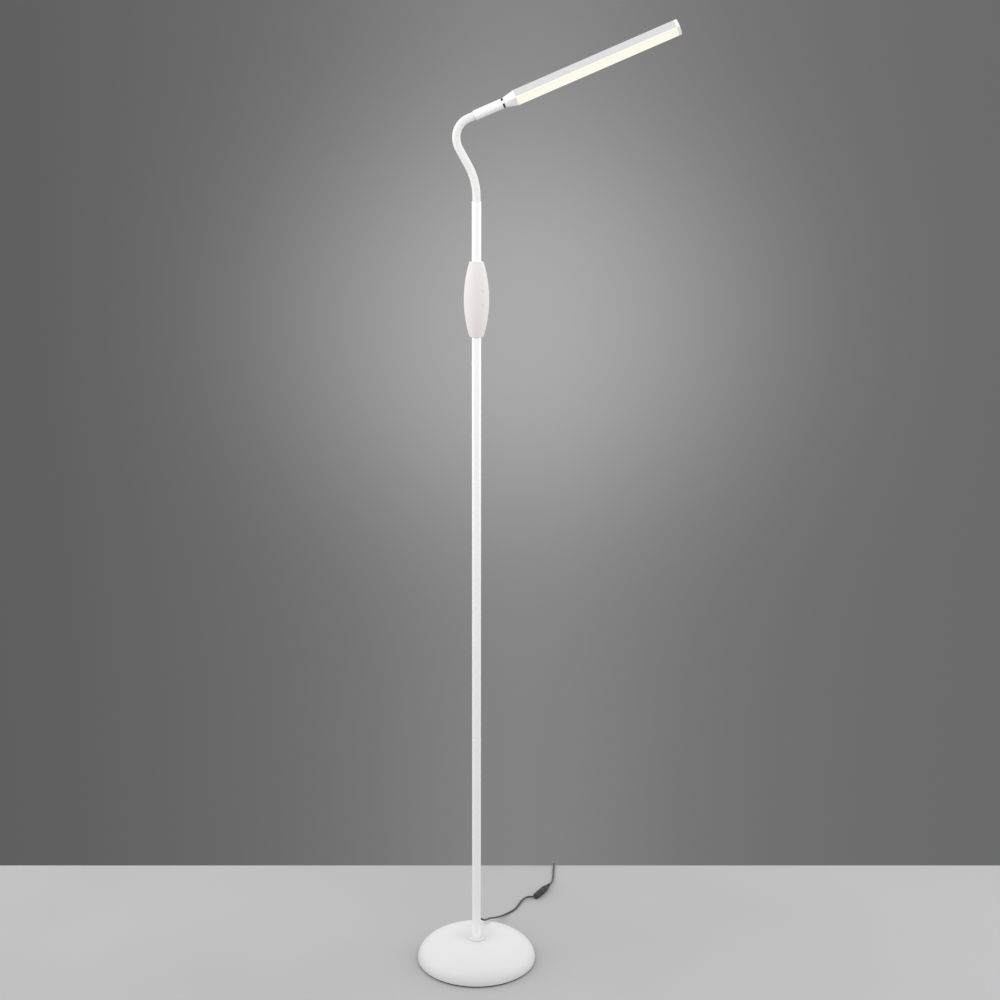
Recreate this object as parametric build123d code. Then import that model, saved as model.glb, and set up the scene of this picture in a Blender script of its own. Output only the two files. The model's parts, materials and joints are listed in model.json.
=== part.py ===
from build123d import *
import math
import os

# Adjustable arm floor lamp.  Millimetres, +Z up.  The origin is the centre of the base on the floor.
# The head reaches out towards +X and the cord leaves towards +Y.

# ---------------------------------------------------------------- driving sizes
SLIDE = 0.05            # radial clearance of pieces that slide or plug into each other
GAP = 0.3               # gap between pieces that move past each other
CUT = 1.0               # how far a cutting solid runs past the face it cuts

# base
BASE_R = 110.0          # dome radius at the rim
DOME_H = 46.3           # dome height above its widest line
DOME_POWER = 2.12       # roundness of the shoulder (2 is an ellipse)
RIM_Z = 3.7             # height of the widest line
COVER_BOTTOM = 3.0      # lower edge of the cover above the floor
COVER_WALL = 1.5
DIMPLE_DEPTH = 9.8      # shallow hollow round the pole foot
DIMPLE_R = 50.0
LAND_R = 17.0           # flat seat in the middle of the dome
FOOT_RING_T = 2.5
FOOT_RING_W = 20.0
FOOT_RING_INSET = 0.5   # from the plate's edge
PLATE_T = 1.5
PLATE_EDGE_GAP = 0.5
WEIGHT_TOP = 24.0
WEIGHT_CLEAR = 2.5      # between the weight's upper edge and the cover
WEIGHT_CHAMFER = 3.0
FOOT_INSERT_WALL = 1.7  # of the threaded insert that the foot bolt screws into
BOLT_HEAD_R = 9.2
BOLT_HEAD_H = 6.4
BOLT_HEAD_Z = 5.0
BOLT_TIP_GAP = 2.0      # between the bolt's tip and the insert's top
WASHER_R = 14.0
WASHER_T = 2.0
HUB_CLEAR = 1.0         # round the washer
SPACER_R = 14.0
FLANGE_R = 15.5
FLANGE_T = 2.4
FLANGE_ROUND = 1.7
FLANGE_RECESS = 1.2     # the pole stands in the flange above this height
PLATE_SCREW_CIRCLE = 60.0
PLATE_SCREW_R = 2.0
PLATE_SCREW_L = 10.0
PLATE_SCREW_HEAD_R = 4.0
PLATE_SCREW_HEAD_T = 1.6

# pole
POLE_R = 8.0
POLE_WALL = 1.2
SECTION_L = 396.5
SECTION_COUNT = 3
SEAM_CHAMFER = 0.3
COUPLER_L = 50.0
COUPLER_WALL = 1.75
INSERT_L = 26.0
WIRE_R = 1.3            # inner wire pair
WIRE_BEND = 4.0
WIRE_GAP = 2.0          # between the two wire ends at the touch board, each way

# cord exit at the back of the pole
EXIT_RISE = 39.2        # above the pole's lower end
EXIT_TILT = 20.0        # downward tilt of the strain relief, degrees
RELIEF_L = 21.5
RELIEF_BIG_R = 3.6
RELIEF_SMALL_R = 2.3
RELIEF_FLANGE_R = 4.6
RELIEF_FLANGE_T = 1.5
RELIEF_NECK_R = 3.2
RELIEF_NECK_IN = 1.5    # how far the neck reaches past the tube's wall

# grip with the touch dimmer
JUNCTION_GAP = 18.0     # between the lower pole and the upper tube, inside the grip
CORE_PLUG_L = 25.0
CORE_WINDOW_W = 6.0     # opening in the junction core for the wires
GRIP_HALF_L = 64.3
GRIP_R = 21.7
GRIP_END_R = 12.0
GRIP_WALL = 2.2
GRIP_END_T = 2.6
GRIP_EDGE_ROUND = 1.0
GRIP_HOLE_GAP = 0.35
GRIP_YAW = 30.0         # the touch side is turned from -Y towards +X by this angle
RIB_OFFSET = 46.0
RIB_T = 2.4
BOSS_R = 2.8
BOSS_X = 13.0
BOSS_OFFSET = 24.0
GRIP_SCREW_R = 1.25
GRIP_SCREW_TIP = -8.5   # screw tip and head seat, measured across the split
GRIP_SCREW_SEAT = 9.0
GRIP_SCREW_HEAD_R = 2.2
GRIP_SCREW_HEAD_T = 2.0
GRIP_SCREW_SPARE = 0.5  # depth of the hole past the screw's tip
BOARD_W = 14.0
BOARD_L = 62.0
BOARD_T = 1.6
BOARD_Y = -13.2         # outer face of the touch board
BOARD_SCREW_R = 0.9
BOARD_SCREW_L = 3.8     # into the post
BOARD_SCREW_HEAD_R = 1.8
BOARD_SCREW_HEAD_T = 1.2
BOARD_SCREW_INSET = 5.0
BOARD_POST_R = 2.0
KEY_HEIGHTS = (16.0, -8.0)   # touch keys above the grip centre
KEY_R = 3.4
KEY_SKIN_GAP = 0.6      # between a touch electrode and the shell

# upper tube and gooseneck
UPPER_TUBE_L = 156.0
# stretches of the gooseneck at rest: length and left turn in degrees
NECK_PATH = ((7.0, 0.0), (55.0, 29.0), (31.0, 0.0), (21.0, -29.0), (39.0, -67.0), (11.0, 0.0))
LINK_COUNT = 9
LINK_START = 7.0        # first ball centre above the upper tube
LINK_END = 5.35         # last ball centre before the neck tube
LINK_R = 6.95
CUP_WALL = 1.45
LINK_BORE_R = 1.7
BALL_NECK_SHARE = 0.39  # neck radius, lip height and skirt height as shares of the link's radius
CUP_LIP_SHARE = 0.27
SKIRT_SHARE = 0.52
FERRULE_L = 20.0
NECK_PLUG_L = 14.0

# neck tube and swivel
NECK_L = 52.0           # to the middle of the friction ring
NECK_R = 8.4
NECK_WALL = 1.2
RING_T = 3.6
RING_R = 7.8
TAB_W = 5.0
TAB_TURN = 14.0         # the tab is turned up from the front by this angle, degrees
SPINDLE_R = 4.0
SPINDLE_BORE_R = 2.0
SPINDLE_END_GAP = 4.0   # from the spindle's end to the cone's end
BUSH_L = 16.0
SPINDLE_HEAD_R = 5.6
SPINDLE_HEAD_T = 2.0

# head
HEAD_ROLL = 47.0        # the lit face is turned towards -Y from straight down
HEAD_SIDE = 19.5
HEAD_CORNER = 1.5
HEAD_END = 315.5
HOUSING_WALL = 1.5
CONE_SMALL_R = 8.5
CONE_END = 23.0         # end of the cone from the middle of the friction ring
CAP_T = 6.0
CAP_DOME = 1.2
PLUG_L = 12.0
CAP_PLUG_L = 8.0
PLUG_DROP_SHARE = 1 / 6  # how far the plugs reach past the axis towards the lit face
DIFFUSER_T = 2.0
DIFFUSER_LEG = 4.0
DIFFUSER_LEG_T = 1.1
CARRIER_T = 1.6
CARRIER_X = -1.0        # face that carries the LED board, from the head's axis
RAIL_T = 1.2
LED_BOARD_T = 1.2
LED_COUNT = 36
LED_W = 2.8
LED_L = 3.5
LED_T = 0.8
END_MARGIN = 5.0        # between the carrier's ends and the plugs
HEAD_SCREW_R = 1.2
HEAD_SCREW_TIP = 4.0
HEAD_SCREW_HEAD_R = 2.2
HEAD_SCREW_HEAD_T = 0.9

# cord, its low-voltage coupling and the plug-in power supply
CORD_D = 3.6
STRAIGHT = 9.0          # straight length at each end of a cord stretch
COUPLING_R = 6.2
COUPLING_L = 58.0
COUPLING_HEADING = 60.0
COUPLING_EDGE = 1.0
SOCKET_L = 27.0
BARREL_R = 2.8          # contact barrel of the plug
BARREL_L = 11.0
PLUG_BODY_L = 9.0       # straight part of the plug, then its waist
PLUG_WAIST_L = 9.0
PLUG_WAIST_R = 4.6
BOOT_LIP = 0.5          # a boot's small end stands this much outside the cord
COIL_MID_R = 21.0
COIL_COLUMNS = 4
COIL_LAYERS = 2
COIL_STUB = 15.0
COIL_SKIN = 0.1         # the coil's solid stands this much outside its turns
COIL_X = 136.6
COIL_BEHIND = 315.0     # behind the base's rear edge
TIE_T = 1.0
TIE_W = 5.0
TIE_ANGLE = 205.0
ADAPTER_X = 50.0
ADAPTER_BEHIND = 336.0
ADAPTER_SIZE = (52.0, 32.0, 26.0)
ADAPTER_ROUND = 3.0
BOOT_L = 12.0
BOOT_R = 4.0
PIN_R = 2.0
PIN_L = 19.0
PIN_PITCH = 19.0

# free cord where it hangs over the dome: place as shares of the base radius, height above the dome
LEAD_OVER_DOME = ((0.0645, 0.442, 12.0), (0.143, 0.562, 5.0), (0.226, 0.774, 4.1))
# the rest of the lamp lead: X, distance behind the base's rear edge, Z
LEAD_BEHIND = ((33.0, 4.0, 24.0), (44.5, 37.0, 9.0), (58.5, 62.0, 1.8), (76.8, 81.5, 1.8),
               (85.0, 104.0, 1.8), (92.0, 120.5, 3.4), (103.0, 130.6, 5.0), (113.6, 129.0, 5.4),
               (120.3, 132.0, COUPLING_R))
# the adapter lead after the coupling, up to the run that enters the coil
SUPPLY_BEHIND = ((156.4, 207.5, 2.8), (159.4, 231.0, 1.8), (160.6, 256.0, 1.8))
COIL_LEAD_RUN = 22.0

# ---------------------------------------------------------------- helpers


def rod(radius, z0, z1):
    """A solid cylinder on the Z axis between two heights."""
    return Pos(0, 0, (z0 + z1) / 2) * Cylinder(radius, z1 - z0)


def tube(outer, inner, z0, z1):
    """A round tube on the Z axis between two heights."""
    return rod(outer, z0, z1) - rod(inner, z0 - 1, z1 + 1)


def block(x0, x1, y0, y1, z0, z1):
    """A box from its corner coordinates."""
    return Pos((x0 + x1) / 2, (y0 + y1) / 2, (z0 + z1) / 2) * Box(x1 - x0, y1 - y0, z1 - z0)


def turned(*points):
    """A solid of revolution about Z from straight-sided (radius, height) points."""
    outline = Polyline(*[(r, 0, z) for r, z in points], close=True)
    return revolve(make_face(outline), Axis.Z)


def save(name, *shapes):
    """Write one node's STEP file; several shapes become separate solids of the node."""
    solids = [solid for shape in shapes for solid in shape.solids()]
    body = solids[0] if len(solids) == 1 else Compound(children=solids)
    export_step(body, os.path.join("parts", name + ".step"))


def pipe(points, radius, bends):
    """A round tube through points, with one bend radius for each inner point."""
    path = FilletPolyline(*points, radius=bends)
    section = Plane(origin=path @ 0, z_dir=path % 0) * Circle(radius)
    return sweep(section, path=path)


def frame_along(origin, direction, x_dir):
    """Location whose Z runs along a direction."""
    return Plane(origin=origin, x_dir=x_dir, z_dir=direction).location


# ---------------------------------------------------------------- base


def dome_point(angle, inset):
    """Point (radius, height) of the dome at a profile angle, offset inwards by inset."""
    radius = (BASE_R - inset) * math.cos(angle) ** (2 / DOME_POWER)
    rise = (DOME_H - inset) * math.sin(angle) ** (2 / DOME_POWER)
    share = min(radius / DIMPLE_R, 1.0)
    dip = DIMPLE_DEPTH * (1 - share * share * (3 - 2 * share))
    return radius, RIM_Z + rise - dip


def dome_angle(radius, inset):
    """Profile angle at which the dome has a radius."""
    return math.acos((radius / (BASE_R - inset)) ** (DOME_POWER / 2))


def dome_radius(height, inset):
    """Inner radius of the cover at a height below the dimple."""
    share = (height - RIM_Z) / (DOME_H - inset)
    return (BASE_R - inset) * (1 - share ** DOME_POWER) ** (1 / DOME_POWER)


def dome_edge(inset, steps=11):
    """Smooth profile edge from the rim to the flat land."""
    last = dome_angle(LAND_R, inset)
    points = [dome_point(last * i / steps, inset) for i in range(steps + 1)]
    return Spline(*[(r, 0, z) for r, z in points], tangents=[(0, 0, 1), (-1, 0, 0)])


LAND_Z = dome_point(dome_angle(LAND_R, 0), 0)[1]
LAND_UNDER_Z = dome_point(dome_angle(LAND_R, COVER_WALL), COVER_WALL)[1]
POLE_BOTTOM = LAND_Z + FLANGE_RECESS
PLATE_TOP = FOOT_RING_T + PLATE_T
WEIGHT_R = dome_radius(WEIGHT_TOP, COVER_WALL) - WEIGHT_CLEAR
BOLT_SEAT = BOLT_HEAD_Z + BOLT_HEAD_H + WASHER_T
POLE_BORE_R = POLE_R - POLE_WALL
INSERT_R = POLE_BORE_R - SLIDE
BOLT_R = INSERT_R - FOOT_INSERT_WALL - SLIDE
COUPLER_BORE_R = INSERT_R - COUPLER_WALL


def base_cover():
    """Pressed dome shell with a flat land and a bolt hole."""
    inner_rim = BASE_R - COVER_WALL
    hole = BOLT_R + GAP
    outer = dome_edge(0)
    inner = dome_edge(COVER_WALL)
    lower = Polyline((inner_rim, 0, RIM_Z), (inner_rim, 0, COVER_BOTTOM),
                     (BASE_R, 0, COVER_BOTTOM), (BASE_R, 0, RIM_Z))
    middle = Polyline(outer @ 1, (hole, 0, LAND_Z), (hole, 0, LAND_UNDER_Z), inner @ 1)
    return revolve(make_face([outer, middle, inner, lower]), Axis.Z)


def plate_screw_places():
    """The three screw places under the base."""
    return PolarLocations(PLATE_SCREW_CIRCLE, 3, start_angle=90)


def make_base():
    """The base: pad, plate, weight, bolt, cover and flange."""
    plate_r = BASE_R - COVER_WALL - PLATE_EDGE_GAP
    ring_r = plate_r - FOOT_RING_INSET
    hub_r = WASHER_R + HUB_CLEAR
    save("foot_ring", tube(ring_r, ring_r - FOOT_RING_W, 0, FOOT_RING_T))
    plate = tube(plate_r, hub_r, FOOT_RING_T, PLATE_TOP)
    weight = turned((BOLT_R + GAP, BOLT_SEAT), (BOLT_R + GAP, WEIGHT_TOP),
                    (WEIGHT_R - WEIGHT_CHAMFER, WEIGHT_TOP), (WEIGHT_R, WEIGHT_TOP - WEIGHT_CHAMFER),
                    (WEIGHT_R, PLATE_TOP), (hub_r, PLATE_TOP), (hub_r, BOLT_SEAT))
    screws = []
    head_z = FOOT_RING_T - PLATE_SCREW_HEAD_T
    tip_z = FOOT_RING_T + PLATE_SCREW_L
    for place in plate_screw_places():
        hole = place * rod(PLATE_SCREW_R + SLIDE, FOOT_RING_T - CUT, tip_z + CUT)
        plate -= hole
        weight -= hole
        head = rod(PLATE_SCREW_HEAD_R, head_z, FOOT_RING_T)
        screws.append(place * (head + rod(PLATE_SCREW_R, head_z, tip_z)))
    save("base_plate", plate)
    save("base_plate_screws", *screws)
    save("base_weight", weight)
    save("base_cover", base_cover())
    insert_top = POLE_BOTTOM + INSERT_L
    hexagon = Pos(0, 0, BOLT_HEAD_Z) * extrude(RegularPolygon(BOLT_HEAD_R, 6), BOLT_HEAD_H)
    save("base_bolt", hexagon + rod(BOLT_R, BOLT_HEAD_Z, insert_top - BOLT_TIP_GAP))
    save("base_washer", tube(WASHER_R, BOLT_R + SLIDE, BOLT_SEAT - WASHER_T, BOLT_SEAT))
    save("stem_spacer", tube(SPACER_R, BOLT_R + SLIDE, WEIGHT_TOP, LAND_UNDER_Z))
    flange_top = LAND_Z + FLANGE_T
    flange = tube(FLANGE_R, BOLT_R + SLIDE, LAND_Z, flange_top)
    upper_edges = flange.edges().filter_by(GeomType.CIRCLE).sort_by(Axis.Z)[-2:]
    flange = fillet(upper_edges.sort_by(SortBy.RADIUS)[-1], FLANGE_ROUND)
    save("foot_flange", flange - rod(POLE_R + SLIDE, POLE_BOTTOM, flange_top + CUT))
    save("pole_foot_insert", tube(INSERT_R, BOLT_R + SLIDE, POLE_BOTTOM, insert_top))


# ---------------------------------------------------------------- pole and cord exit

EXIT_Z = POLE_BOTTOM + EXIT_RISE
EXIT_DIR = Vector(0, math.cos(math.radians(EXIT_TILT)), -math.sin(math.radians(EXIT_TILT)))
EXIT_FRAME = frame_along((0, 0, EXIT_Z), EXIT_DIR, (1, 0, 0))
RELIEF_TIP = POLE_R + RELIEF_L
POLE_TOP = POLE_BOTTOM + SECTION_COUNT * SECTION_L
GRIP_Z = POLE_TOP + JUNCTION_GAP / 2
UPPER_TUBE_Z = POLE_TOP + JUNCTION_GAP
UPPER_TUBE_TOP = UPPER_TUBE_Z + UPPER_TUBE_L


def chamfered_tube(z0, z1):
    """A pole tube whose outer end edges are broken."""
    body = tube(POLE_R, POLE_BORE_R, z0, z1)
    ends = body.edges().filter_by(GeomType.CIRCLE).sort_by(SortBy.RADIUS)[-2:]
    return chamfer(ends, SEAM_CHAMFER)


def make_pole():
    """Three screwed tubes, their couplers, the strain relief and the wires inside."""
    names = ("pole_section_lower", "pole_section_middle", "pole_section_upper")
    couplers = []
    for index, name in enumerate(names):
        start = POLE_BOTTOM + index * SECTION_L
        section = chamfered_tube(start, start + SECTION_L)
        if index == 0:
            section -= EXIT_FRAME * rod(RELIEF_NECK_R + SLIDE, POLE_R / 2, 2 * POLE_R)
        else:
            couplers.append(tube(INSERT_R, COUPLER_BORE_R, start - COUPLER_L / 2, start + COUPLER_L / 2))
        save(name, section)
    save("pole_couplers", *couplers)

    sleeve = turned((0, POLE_R / 2), (RELIEF_FLANGE_R, POLE_R / 2),
                    (RELIEF_FLANGE_R, POLE_R + RELIEF_FLANGE_T), (RELIEF_BIG_R, POLE_R + RELIEF_FLANGE_T),
                    (RELIEF_SMALL_R, RELIEF_TIP), (0, RELIEF_TIP))
    outside = (EXIT_FRAME * sleeve) - rod(POLE_R, 0, 2 * EXIT_Z)
    through = EXIT_FRAME * rod(RELIEF_NECK_R, POLE_BORE_R - RELIEF_NECK_IN, POLE_R + CUT)
    bore = EXIT_FRAME * rod(WIRE_R + SLIDE, 0, RELIEF_TIP + CUT)
    save("cord_strain_relief", outside + through - bore)
    make_inner_wires()


def make_inner_wires():
    """The wire pair from the strain relief to the touch board, and on to the gooseneck."""
    window = JUNCTION_GAP / 2 - WIRE_GAP
    board = GRIP_FRAME * Pos(0, BOARD_Y + BOARD_T + WIRE_R, 0)
    bx, by = board.position.X, board.position.Y
    lower = pipe([(EXIT_FRAME * Pos(0, 0, RELIEF_TIP)).position, (0, 0, EXIT_Z), (0, 0, GRIP_Z - window),
                  (bx, by, GRIP_Z - WIRE_GAP)], WIRE_R, [WIRE_BEND, WIRE_BEND])
    upper = pipe([(bx, by, GRIP_Z + WIRE_GAP), (0, 0, GRIP_Z + window),
                  (0, 0, UPPER_TUBE_TOP - FERRULE_L - GAP)], WIRE_R, [WIRE_BEND])
    save("inner_wires", lower, upper)


# ---------------------------------------------------------------- grip

GRIP_FRAME = Pos(0, 0, GRIP_Z) * Rot(0, 0, GRIP_YAW)
GRIP_INNER_R = GRIP_R - GRIP_WALL
GRIP_INNER_END_R = GRIP_END_R - GRIP_WALL
GRIP_INNER_HALF = GRIP_HALF_L - GRIP_END_T


def grip_inner_radius(height):
    """Inner radius of the grip shell at a height from its middle."""
    sag = GRIP_INNER_R - GRIP_INNER_END_R
    bend = (GRIP_INNER_HALF ** 2 + sag ** 2) / (2 * sag)
    return GRIP_INNER_R - bend + math.sqrt(bend ** 2 - height ** 2)


def barrel(end_r, middle_r, half):
    """A solid barrel with flat ends, centred on the origin."""
    side = ThreePointArc((end_r, 0, -half), (middle_r, 0, 0), (end_r, 0, half))
    rest = Polyline((end_r, 0, half), (0, 0, half), (0, 0, -half), (end_r, 0, -half))
    return revolve(make_face([side, rest]), Axis.Z)


def rod_y(radius, x, z, y0, y1):
    """A cylinder along Y between two places."""
    return Pos(x, (y0 + y1) / 2, z) * Rot(90, 0, 0) * Cylinder(radius, y1 - y0)


def shell_posts(outer):
    """Ribs, screw bosses and board posts that stand inside the shells."""
    posts = []
    for side in (-1, 1):
        z = side * RIB_OFFSET
        rib_r = grip_inner_radius(RIB_OFFSET) + GRIP_WALL / 3
        posts.append(rod(rib_r, z - RIB_T / 2, z + RIB_T / 2))
        posts.append(rod_y(BOSS_R, side * BOSS_X, side * BOSS_OFFSET, -GRIP_R, GRIP_R) & outer)
        z = side * (BOARD_L / 2 - BOARD_SCREW_INSET)
        post = rod_y(BOARD_POST_R, 0, z, -GRIP_R, BOARD_Y) & outer
        hole = rod_y(BOARD_SCREW_R + SLIDE, 0, z, BOARD_Y - BOARD_SCREW_L - CUT / 2, BOARD_Y + CUT)
        posts.append(post - hole)
    return posts


def make_grip():
    """Two barrel shells with their screws, the junction core and the upper tube."""
    outer = barrel(GRIP_END_R, GRIP_R, GRIP_HALF_L)
    outer = fillet(outer.edges().filter_by(GeomType.CIRCLE), GRIP_EDGE_ROUND)
    shell = outer - barrel(GRIP_INNER_END_R, GRIP_INNER_R, GRIP_INNER_HALF)
    for post in shell_posts(outer):
        shell += post
    rib_end = RIB_OFFSET + RIB_T
    reach = GRIP_HALF_L + CUT
    shell -= rod(POLE_R + SLIDE, -rib_end, rib_end)
    shell -= rod(POLE_R + GRIP_HOLE_GAP, -reach, -rib_end)
    shell -= rod(POLE_R + GRIP_HOLE_GAP, rib_end, reach)
    screws = []
    seat = GRIP_SCREW_SEAT
    for side in (-1, 1):
        x, z = side * BOSS_X, side * BOSS_OFFSET
        shell -= rod_y(GRIP_SCREW_R + SLIDE, x, z, GRIP_SCREW_TIP - GRIP_SCREW_SPARE, seat + CUT)
        shell -= rod_y(GRIP_SCREW_HEAD_R + SLIDE, x, z, seat, GRIP_R)
        shank = rod_y(GRIP_SCREW_R, x, z, GRIP_SCREW_TIP, seat)
        screws.append(GRIP_FRAME * (shank + rod_y(GRIP_SCREW_HEAD_R, x, z, seat, seat + GRIP_SCREW_HEAD_T)))
    room = 2 * GRIP_HALF_L
    save("grip_shell_front", GRIP_FRAME * (shell & block(-room, room, -room, 0, -room, room)))
    save("grip_shell_rear", GRIP_FRAME * (shell & block(-room, room, 0, room, -room, room)))
    save("grip_screws", *screws)

    core = tube(INSERT_R, COUPLER_BORE_R, POLE_TOP - CORE_PLUG_L, UPPER_TUBE_Z + CORE_PLUG_L)
    core += tube(POLE_R, COUPLER_BORE_R, POLE_TOP, UPPER_TUBE_Z)
    window = CORE_WINDOW_W / 2
    half = JUNCTION_GAP / 2 - CUT
    save("junction_core", core - GRIP_FRAME * block(-window, window, -POLE_R - CUT, 0, -half, half))
    save("upper_tube", chamfered_tube(UPPER_TUBE_Z, UPPER_TUBE_TOP))


def make_touch_board():
    """The dimmer board behind the touch marks, its screws and its two touch electrodes."""
    back = BOARD_Y + BOARD_T
    board = block(-BOARD_W / 2, BOARD_W / 2, BOARD_Y, back, -BOARD_L / 2, BOARD_L / 2)
    screws = []
    for side in (-1, 1):
        z = side * (BOARD_L / 2 - BOARD_SCREW_INSET)
        board -= rod_y(BOARD_SCREW_R + SLIDE, 0, z, BOARD_Y - CUT, back + CUT)
        shank = rod_y(BOARD_SCREW_R, 0, z, BOARD_Y - BOARD_SCREW_L, back)
        head = rod_y(BOARD_SCREW_HEAD_R, 0, z, back, back + BOARD_SCREW_HEAD_T)
        screws.append(GRIP_FRAME * (shank + head))
    save("touch_board", GRIP_FRAME * board)
    save("touch_board_screws", *screws)
    springs = []
    for z in KEY_HEIGHTS:
        skin = grip_inner_radius(abs(z) + KEY_R) - KEY_SKIN_GAP
        springs.append(GRIP_FRAME * rod_y(KEY_R, 0, z, -skin, BOARD_Y))
    save("touch_electrodes", *springs)


# ---------------------------------------------------------------- gooseneck


def neck_place(distance):
    """Point (x, z) and heading in degrees of the gooseneck centre line at rest."""
    x, z, heading = 0.0, UPPER_TUBE_TOP, 90.0
    for length, turn in NECK_PATH:
        part = min(distance, length)
        after = heading + turn * part / length
        if turn:
            radius = length / math.radians(turn)
            x += radius * (math.sin(math.radians(after)) - math.sin(math.radians(heading)))
            z += radius * (math.cos(math.radians(heading)) - math.cos(math.radians(after)))
        else:
            x += part * math.cos(math.radians(heading))
            z += part * math.sin(math.radians(heading))
        heading = after
        distance -= part
    return x, z, heading


NECK_LENGTH = sum(length for length, turn in NECK_PATH)
LINK_PITCH = (NECK_LENGTH - LINK_START - LINK_END) / LINK_COUNT
BALLS = [neck_place(LINK_START + LINK_PITCH * i)[:2] for i in range(LINK_COUNT + 1)]
NECK_X, NECK_Z, NECK_HEADING = neck_place(NECK_LENGTH)
NECK_TILT = math.radians(NECK_HEADING)
NECK_DIR = (math.cos(NECK_TILT), 0, math.sin(NECK_TILT))
RING_CENTRE = (NECK_X + NECK_L * NECK_DIR[0], 0, NECK_Z + NECK_L * NECK_DIR[2])
CUP_R = LINK_R - CUP_WALL
BALL_R = CUP_R - GAP
BALL_NECK_R = BALL_NECK_SHARE * LINK_R
CUP_LIP = CUP_LIP_SHARE * LINK_R         # height of the cup's lip above the ball centre
LINK_SKIRT = SKIRT_SHARE * LINK_R        # start of a link's body above its own ball centre
SKIRT_R = LINK_R + GAP


def arc_about(centre, radius, start, end):
    """Arc in the XZ half plane about a centre on the axis; angles from the X axis in degrees."""
    spots = []
    for angle in (start, (start + end) / 2, end):
        turn = math.radians(angle)
        spots.append((radius * math.cos(turn), 0, centre + radius * math.sin(turn)))
    return ThreePointArc(*spots)


def angle_at(radius, across=None, height=None):
    """Angle of a point on a circle, from its distance to the axis or its height."""
    if height is None:
        return math.degrees(math.acos(across / radius))
    return math.degrees(math.asin(height / radius))


def cup_edges(top):
    """Profile of a cup end whose ball centre is at height top: outside, lip and cavity."""
    outside = arc_about(top, LINK_R, 0, angle_at(LINK_R, height=CUP_LIP))
    cavity = arc_about(top, CUP_R, angle_at(CUP_R, height=CUP_LIP), -angle_at(CUP_R, across=LINK_BORE_R))
    return [outside, Line(outside @ 1, cavity @ 0), cavity]


def ball_edges():
    """Profile of a ball end on the origin: ball, neck and hollow skirt."""
    ball = arc_about(0, BALL_R, -angle_at(BALL_R, across=LINK_BORE_R), angle_at(BALL_R, across=BALL_NECK_R))
    skirt = arc_about(0, SKIRT_R, angle_at(SKIRT_R, across=BALL_NECK_R), angle_at(SKIRT_R, height=LINK_SKIRT))
    corner = (LINK_R, 0, LINK_SKIRT)
    return [ball, Line(ball @ 1, skirt @ 0), skirt, Line(skirt @ 1, corner)]


def link(length):
    """One link of the gooseneck: ball at the origin, cup at the given height."""
    ball = ball_edges()
    cup = cup_edges(length)
    side = Line((LINK_R, 0, LINK_SKIRT), (LINK_R, 0, length))
    bore = Line(cup[-1] @ 1, ball[0] @ 0)
    return revolve(make_face(ball + [side] + cup + [bore]), Axis.Z)


def make_gooseneck():
    """The socket in the upper tube, the links and the ball end of the neck tube."""
    cup = cup_edges(LINK_START)
    rest = Polyline(cup[-1] @ 1, (LINK_BORE_R, 0, -FERRULE_L), (INSERT_R, 0, -FERRULE_L),
                    (INSERT_R, 0, 0), (LINK_R, 0, 0), (LINK_R, 0, LINK_START))
    socket = revolve(make_face(cup + [rest]), Axis.Z)
    save("gooseneck_socket", Pos(0, 0, UPPER_TUBE_TOP) * socket)
    for number in range(LINK_COUNT):
        x0, z0 = BALLS[number]
        x1, z1 = BALLS[number + 1]
        span = math.hypot(x1 - x0, z1 - z0)
        along = ((x1 - x0) / span, 0, (z1 - z0) / span)
        place = frame_along((x0, 0, z0), along, (along[2], 0, -along[0]))
        save(f"gooseneck_link_{number + 1}", place * link(span))

    x, z = BALLS[-1]
    start = math.hypot(NECK_X - x, NECK_Z - z)
    plug_r = NECK_R - NECK_WALL - SLIDE
    ball = ball_edges()
    end = start + NECK_PLUG_L
    rest = Polyline((LINK_R, 0, LINK_SKIRT), (LINK_R, 0, start), (plug_r, 0, start), (plug_r, 0, end),
                    (LINK_BORE_R, 0, end), ball[0] @ 0)
    place = frame_along((x, 0, z), NECK_DIR, (NECK_DIR[2], 0, -NECK_DIR[0]))
    save("neck_ball_end", place * revolve(make_face(ball + [rest]), Axis.Z))


# ---------------------------------------------------------------- neck tube, swivel and head

NECK_FRAME = frame_along(RING_CENTRE, NECK_DIR, (0, -1, 0))
ROLL = math.radians(HEAD_ROLL)
BACK_DIR = (-math.cos(ROLL) * NECK_DIR[2], math.sin(ROLL), math.cos(ROLL) * NECK_DIR[0])
HEAD_FRAME = frame_along(RING_CENTRE, NECK_DIR, BACK_DIR)
RING_HALF = RING_T / 2
HALF_SIDE = HEAD_SIDE / 2
INNER_HALF = HALF_SIDE - HOUSING_WALL
BAR_END = HEAD_END - CAP_T
PLUG_HALF = INNER_HALF - SLIDE
STRIP_HALF = INNER_HALF - SLIDE
DIFFUSER_BACK = DIFFUSER_T - HALF_SIDE
SPINDLE_START = -RING_HALF - BUSH_L - GAP
SPINDLE_END = CONE_END - SPINDLE_END_GAP


def square_bar(side, corner, z0, z1):
    """A bar with a rounded square section."""
    return Pos(0, 0, z0) * extrude(RectangleRounded(side, side, corner), z1 - z0)


def rod_x(radius, z, x0, x1):
    """A cylinder along X between two places."""
    return Pos((x0 + x1) / 2, 0, z) * Rot(0, 90, 0) * Cylinder(radius, x1 - x0)


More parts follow.
